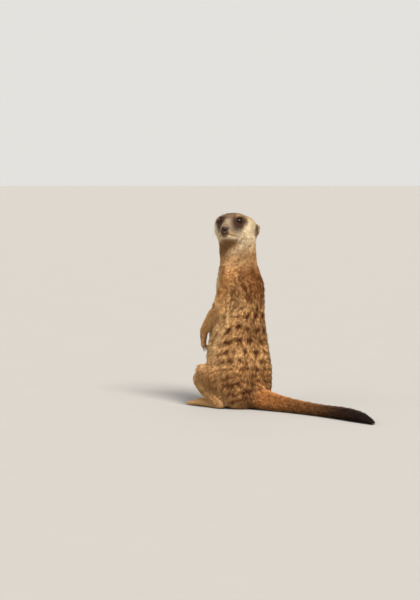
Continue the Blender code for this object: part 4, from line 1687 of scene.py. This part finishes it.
def nose_material():
    """Damp nose leather: brown-black, grained, with a soft wet gloss, painted lighter on top as lit and
    darker below as shade.
    """
    material, tree, surface = new_material("nose_leather", roughness=0.45, specular_ior_level=0.25)
    place_at = add(tree, "ShaderNodeTexCoord").outputs["Object"]
    plates = add(tree, "ShaderNodeTexVoronoi", {"Vector": place_at, "Scale": 1 / LEATHER_GRAIN})
    tint = add(tree, "ShaderNodeMapRange", {"Value": plates.outputs["Distance"], "From Max": 0.7,
                                            "To Min": 1.0, "To Max": 0.6})
    colour = add(tree, "ShaderNodeHueSaturation", {"Value": tint.outputs[0],
                                                   "Color": linear(LEATHER_LIT)})
    painted_shade_on_pad = add(tree, "ShaderNodeAttribute", attribute_name="pit").outputs["Fac"]
    shown = add(tree, "ShaderNodeMix", {FACTOR: painted_shade_on_pad, BELOW: colour.outputs[0],
                                        ABOVE: linear(LEATHER_SHADED)}, data_type="RGBA")
    tree.links.new(shown.outputs[RESULT], surface.inputs["Base Color"])
    bump = add(tree, "ShaderNodeBump", {"Strength": 0.45, "Distance": 0.12 * MM,
                                        "Height": plates.outputs["Distance"]}, invert=True)
    tree.links.new(bump.outputs[0], surface.inputs["Normal"])
    return material


pad = nose_pad()
pad.data.materials.append(nose_material())
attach(pad, "root")
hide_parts("nose")
print(pad.name, len(pad.data.polygons), "faces")

# %% [markdown]
# ## The claws
#
# A meerkat digs with long, slightly bent claws, so a curved cone of horn is turned along each of
# the lines found for the fingers and toes.

# %% Claw shape
CLAW_RINGS, CLAW_STEPS = 12, 12
CLAW_HALF = {"hand": 0.85 * MM, "hind_foot": 0.95 * MM}
CLAW_LENGTH = {"hand": 8.5 * MM, "hind_foot": 5.5 * MM}
PALM_WAY = {"hand": FOOT_LIE, "hind_foot": DOWN}
CLAW_HOOK, CLAW_FLATNESS = 0.10, 0.72
CLAW_TIP, CLAW_CAP = 0.04 * MM, 0.2 * MM


def claw(root, tip, half, palm):
    """Corners and faces of a curved, tapering cone that hooks toward the palm."""
    axis = unit(tip - root)
    across = unit(np.cross(axis, palm))
    inner = np.cross(across, axis)
    reach = np.linalg.norm(tip - root)
    corners = []
    for ring in range(CLAW_RINGS):
        way = ring / CLAW_RINGS
        middle = root + reach * (way * axis - 4 * CLAW_HOOK * way * (1 - way) * inner)
        width = half * (1 - way ** 1.4) ** 0.8 + CLAW_TIP
        for turn in around(CLAW_STEPS):
            outward = CLAW_FLATNESS * math.cos(turn) * across + math.sin(turn) * inner
            corners.append(middle + width * outward)
    last, cap = (CLAW_RINGS - 1) * CLAW_STEPS, len(corners)
    faces = tube(CLAW_RINGS, CLAW_STEPS) + fan(0, CLAW_STEPS, cap) + fan(last, CLAW_STEPS, cap + 1)
    return corners + [root - CLAW_CAP * axis, tip], faces


def claws_of(node):
    """All the claws of one hand or foot as one piece."""
    kind = node.rsplit("_", 1)[0]
    shapes, along = [], []
    for found, tip in claw_lines(node):
        root = tip + unit(found - tip) * CLAW_LENGTH[kind]
        shapes.append(claw(root, tip, CLAW_HALF[kind], PALM_WAY[kind]))
        along += np.clip(distance(np.array(shapes[-1][0]), root) / CLAW_LENGTH[kind], 0, 1).tolist()
    return finished_mesh("claws_" + node, *joined(shapes), {"along": along})


print("claw length, mm:", {kind: round(reach / MM, 1) for kind, reach in CLAW_LENGTH.items()})

# %% [markdown]
# Claw horn is keratin, as in a fingernail: dark brown at the root, paler and worn at the tip, with
# fine lines along it.

# %% Claw material
HORN_GRAIN = 0.5 * MM
HORN_ROOT, HORN_TIP = "#2e2018", "#66523f"


def claw_material():
    """Claw horn: brown keratin, paler toward the tip, with a dull polish."""
    material, tree, surface = new_material("claw_horn", roughness=0.42, specular_ior_level=0.5)
    along_at = add(tree, "ShaderNodeAttribute", attribute_name="along").outputs["Fac"]
    place_at = add(tree, "ShaderNodeTexCoord").outputs["Object"]
    streaks = add(tree, "ShaderNodeTexNoise", {"Vector": place_at, "Scale": 1 / HORN_GRAIN, "Detail": 2.0})
    colour = add(tree, "ShaderNodeMix", {FACTOR: along_at, BELOW: linear(HORN_ROOT),
                                         ABOVE: linear(HORN_TIP)}, data_type="RGBA")
    value = add(tree, "ShaderNodeMapRange", {"Value": streaks.outputs["Fac"], "To Min": 0.8, "To Max": 1.2})
    shown = add(tree, "ShaderNodeHueSaturation", {"Value": value.outputs[0],
                                                  "Color": colour.outputs[RESULT]})
    tree.links.new(shown.outputs[0], surface.inputs["Base Color"])
    return material


horn = claw_material()
for node in CLAW_CUTS:
    piece = claws_of(node)
    piece.data.materials.append(horn)
    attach(piece, "root")
    print(piece.name, len(piece.data.polygons), "faces")

# %% [markdown]
# ## Whiskers
#
# Whiskers are stiff single hairs, thick enough to stand off the coat. A few rows grow on each side
# of the muzzle and a few over each eye. Each is a thin cone on a bent line.

# %% Whisker shape
WHISKER_HALF, WHISKER_TIP = 0.11 * MM, 0.015 * MM
WHISKER_RINGS, WHISKER_STEPS = 7, 3
WHISKER_SAG = 0.22 * (-0.6 * HEAD_FORWARD - 0.8 * HEAD_UP)
WHISKER_SEAT = 0.8 * MM


def whisker(found, heading, reach):
    """Corners and faces of one bent, tapering, three-sided hair."""
    root = found - heading * WHISKER_SEAT
    across = unit(np.cross(heading, HEAD_UP))
    rise = np.cross(across, heading)
    corners = []
    for ring in range(WHISKER_RINGS):
        way = ring / WHISKER_RINGS
        middle = root + reach * (way * heading + way ** 2 * WHISKER_SAG)
        width = WHISKER_HALF * (1 - way) + WHISKER_TIP
        for turn in around(WHISKER_STEPS):
            corners.append(middle + width * (math.cos(turn) * across + math.sin(turn) * rise))
    last, tip = (WHISKER_RINGS - 1) * WHISKER_STEPS, len(corners)
    faces = [(2, 1, 0)] + tube(WHISKER_RINGS, WHISKER_STEPS) + fan(last, WHISKER_STEPS, tip)
    return corners + [root + reach * (heading + WHISKER_SAG)], faces


print("whisker, mm thick at the root:", round(2 * WHISKER_HALF / MM, 2))

# %% [markdown]
# The roots are found by casting rays at the skin, in rows beside the nose and a pair over each eye.
# Whisker hair is the same horn as the claws, dark, with a thin gloss.

# %% Whiskers
WHISKER_ROWS, WHISKERS_IN_ROW, BROW_WHISKERS = 3, 4, 2
WHISKER_DARK, WHISKER_PALE = "#2a1c14", "#6b5642"


def head_place(left, forward, up):
    """A place given in the head's directions, in mm from its centre."""
    return HEAD_CENTRE + np.array([left, forward, up]) * MM @ HEAD_AXES


def whisker_lines():
    """Root, heading and length of every whisker."""
    tree = BVHTree.FromPolygons(points_of(skin.data).tolist(),
                                [tuple(face.vertices) for face in skin.data.polygons])
    for sign in (1, -1):
        for row in range(WHISKER_ROWS):
            for number in range(WHISKERS_IN_ROW):
                start = head_place(sign * 14, 35 - 3.4 * number, -8 - 2.2 * row)
                inner = head_place(0, 35 - 3.4 * number, -9 - 2.0 * row)
                heading = np.array([sign * 0.9, -0.25 - 0.14 * number, 0.12 - 0.18 * row])
                hit = tree.ray_cast(Vector(start), Vector(unit(inner - start)))[0]
                yield np.array(hit), unit(heading @ HEAD_AXES), (15 + 2.5 * number) * MM
        for number in range(BROW_WHISKERS):
            start = head_place(sign * (9 + 2 * number), 18 - 3 * number, 30)
            heading = np.array([sign * 0.5, -0.2, 0.85])
            hit = tree.ray_cast(Vector(start), Vector(-HEAD_UP))[0]
            yield np.array(hit), unit(heading @ HEAD_AXES), 11 * MM


def whisker_material():
    """Whisker hair: stiff dark keratin with a thin gloss along it."""
    material, tree, surface = new_material("whisker_hair", roughness=0.4, specular_ior_level=0.4)
    along_at = add(tree, "ShaderNodeAttribute", attribute_name="along").outputs["Fac"]
    shown = add(tree, "ShaderNodeMix", {FACTOR: along_at, BELOW: linear(WHISKER_DARK),
                                        ABOVE: linear(WHISKER_PALE)}, data_type="RGBA")
    tree.links.new(shown.outputs[RESULT], surface.inputs["Base Color"])
    return material


shapes = [whisker(*line) for line in whisker_lines()]
along = [number / len(corners) for corners, _ in shapes for number in range(len(corners))]
whiskers = finished_mesh("whiskers", *joined(shapes), {"along": along})
whiskers.data.materials.append(whisker_material())
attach(whiskers, "root")
print("whiskers:", len(whiskers.data.polygons), "faces")

# %% [markdown]
# ## Floor, light and camera
#
# The model stands on a plain pale floor. A large soft lamp high on the right is the key light, and
# a dim one on the left and the pale sky fill the shadows. The camera is far away with a long lens,
# as for a wild animal, a little above the height of the floor.

# %% Floor
FLOOR_HALF = 40.0
FLOOR_COLOUR = "#868482"
ROLLER_GRAIN = 120 * MM


def floor_material():
    """Painted studio floor: matt and pale, with a faint unevenness of the roller."""
    material, tree, surface = new_material("matt_floor_paint", roughness=0.85, specular_ior_level=0.2)
    place_at = add(tree, "ShaderNodeTexCoord").outputs["Object"]
    uneven = add(tree, "ShaderNodeTexNoise", {"Vector": place_at, "Scale": 1 / ROLLER_GRAIN, "Detail": 2.0})
    value = add(tree, "ShaderNodeMapRange", {"Value": uneven.outputs["Fac"], "To Min": 0.98,
                                             "To Max": 1.02})
    shown = add(tree, "ShaderNodeHueSaturation", {"Value": value.outputs[0], "Color": linear(FLOOR_COLOUR)})
    tree.links.new(shown.outputs[0], surface.inputs["Base Color"])
    return material


disc = bmesh.new()
bmesh.ops.create_circle(disc, cap_ends=True, segments=96, radius=FLOOR_HALF)
floor_mesh = bpy.data.meshes.new("floor")
disc.to_mesh(floor_mesh)
disc.free()
floor = new_object("floor", floor_mesh)
floor.data.materials.append(floor_material())
print("floor, m across:", 2 * FLOOR_HALF)

# %% [markdown]
# A lamp very far away shines the same on every side of the model. Spread wide, it throws a soft
# shadow, like the sun through thin cloud. Both lamps are turned from the way the camera looks.

# %% Lamps and sky
KEY_POWER, KEY_SPREAD, KEY_TINT = 8.4, math.radians(22), (1.0, 0.96, 0.89)
KEY_TURN, KEY_RISE = math.radians(28), math.radians(47)
FILL_POWER, FILL_SPREAD, FILL_TINT = 1.9, math.radians(60), (1.0, 0.95, 0.86)
FILL_TURN, FILL_RISE = math.radians(-60), math.radians(25)
SKY_STRENGTH, SKY_COLOUR = 0.95, "#e9e7e3"
CAMERA_TURN, CAMERA_RISE = math.radians(142), math.radians(4)


def toward(turn, rise):
    """The direction from the model to a place seen at a turn round it and a rise above it."""
    return np.array([math.sin(turn) * math.cos(rise), -math.cos(turn) * math.cos(rise), math.sin(rise)])


def lamp(name, turn, rise, power, spread, tint):
    """A distant soft lamp that shines on the model from one side."""
    light = bpy.data.lights.new(name, "SUN")
    light.energy = power
    light.angle = spread
    light.color = tint
    thing = new_object(name, light)
    thing.rotation_euler = Vector(toward(turn, rise)).to_track_quat("Z", "Y").to_euler()
    return thing


lamp("key_light", CAMERA_TURN + KEY_TURN, KEY_RISE, KEY_POWER, KEY_SPREAD, KEY_TINT)
fill = lamp("fill_light", CAMERA_TURN + FILL_TURN, FILL_RISE, FILL_POWER, FILL_SPREAD, FILL_TINT)
fill.visible_glossy = False
sky = bpy.data.worlds.new("pale_sky")
sky.use_nodes = True
backdrop = sky.node_tree.nodes["Background"]
backdrop.inputs["Color"].default_value = linear(SKY_COLOUR)
backdrop.inputs["Strength"].default_value = SKY_STRENGTH
bpy.context.scene.world = sky
bpy.context.scene.view_settings.view_transform = "Standard"
print("key lamp power:", KEY_POWER, "fill lamp power:", FILL_POWER)

# %% [markdown]
# The long lens keeps the model's proportions flat and true. The camera stands at a turn and a rise
# round the model and is then moved aside, so that the model sits where it should in the picture.

# %% Camera
LENS_MM, SENSOR_MM, CAMERA_DISTANCE = 109.8, 36, 2.5
AIM_RIGHT, AIM_UP = -0.0396, 0.1455

camera_data = bpy.data.cameras.new("camera")
camera_data.lens = LENS_MM
camera_data.sensor_width = SENSOR_MM
camera = new_object("camera", camera_data)
back = Vector(toward(CAMERA_TURN, CAMERA_RISE))
right = Vector((math.cos(CAMERA_TURN), math.sin(CAMERA_TURN), 0))
up = back.cross(right)
aim = AIM_RIGHT * right + AIM_UP * up
axes = Matrix((right, up, back)).transposed()
camera.matrix_world = Matrix.Translation(aim + CAMERA_DISTANCE * back) @ axes.to_4x4()
bpy.context.scene.camera = camera
print("camera at", [round(value, 3) for value in camera.location])
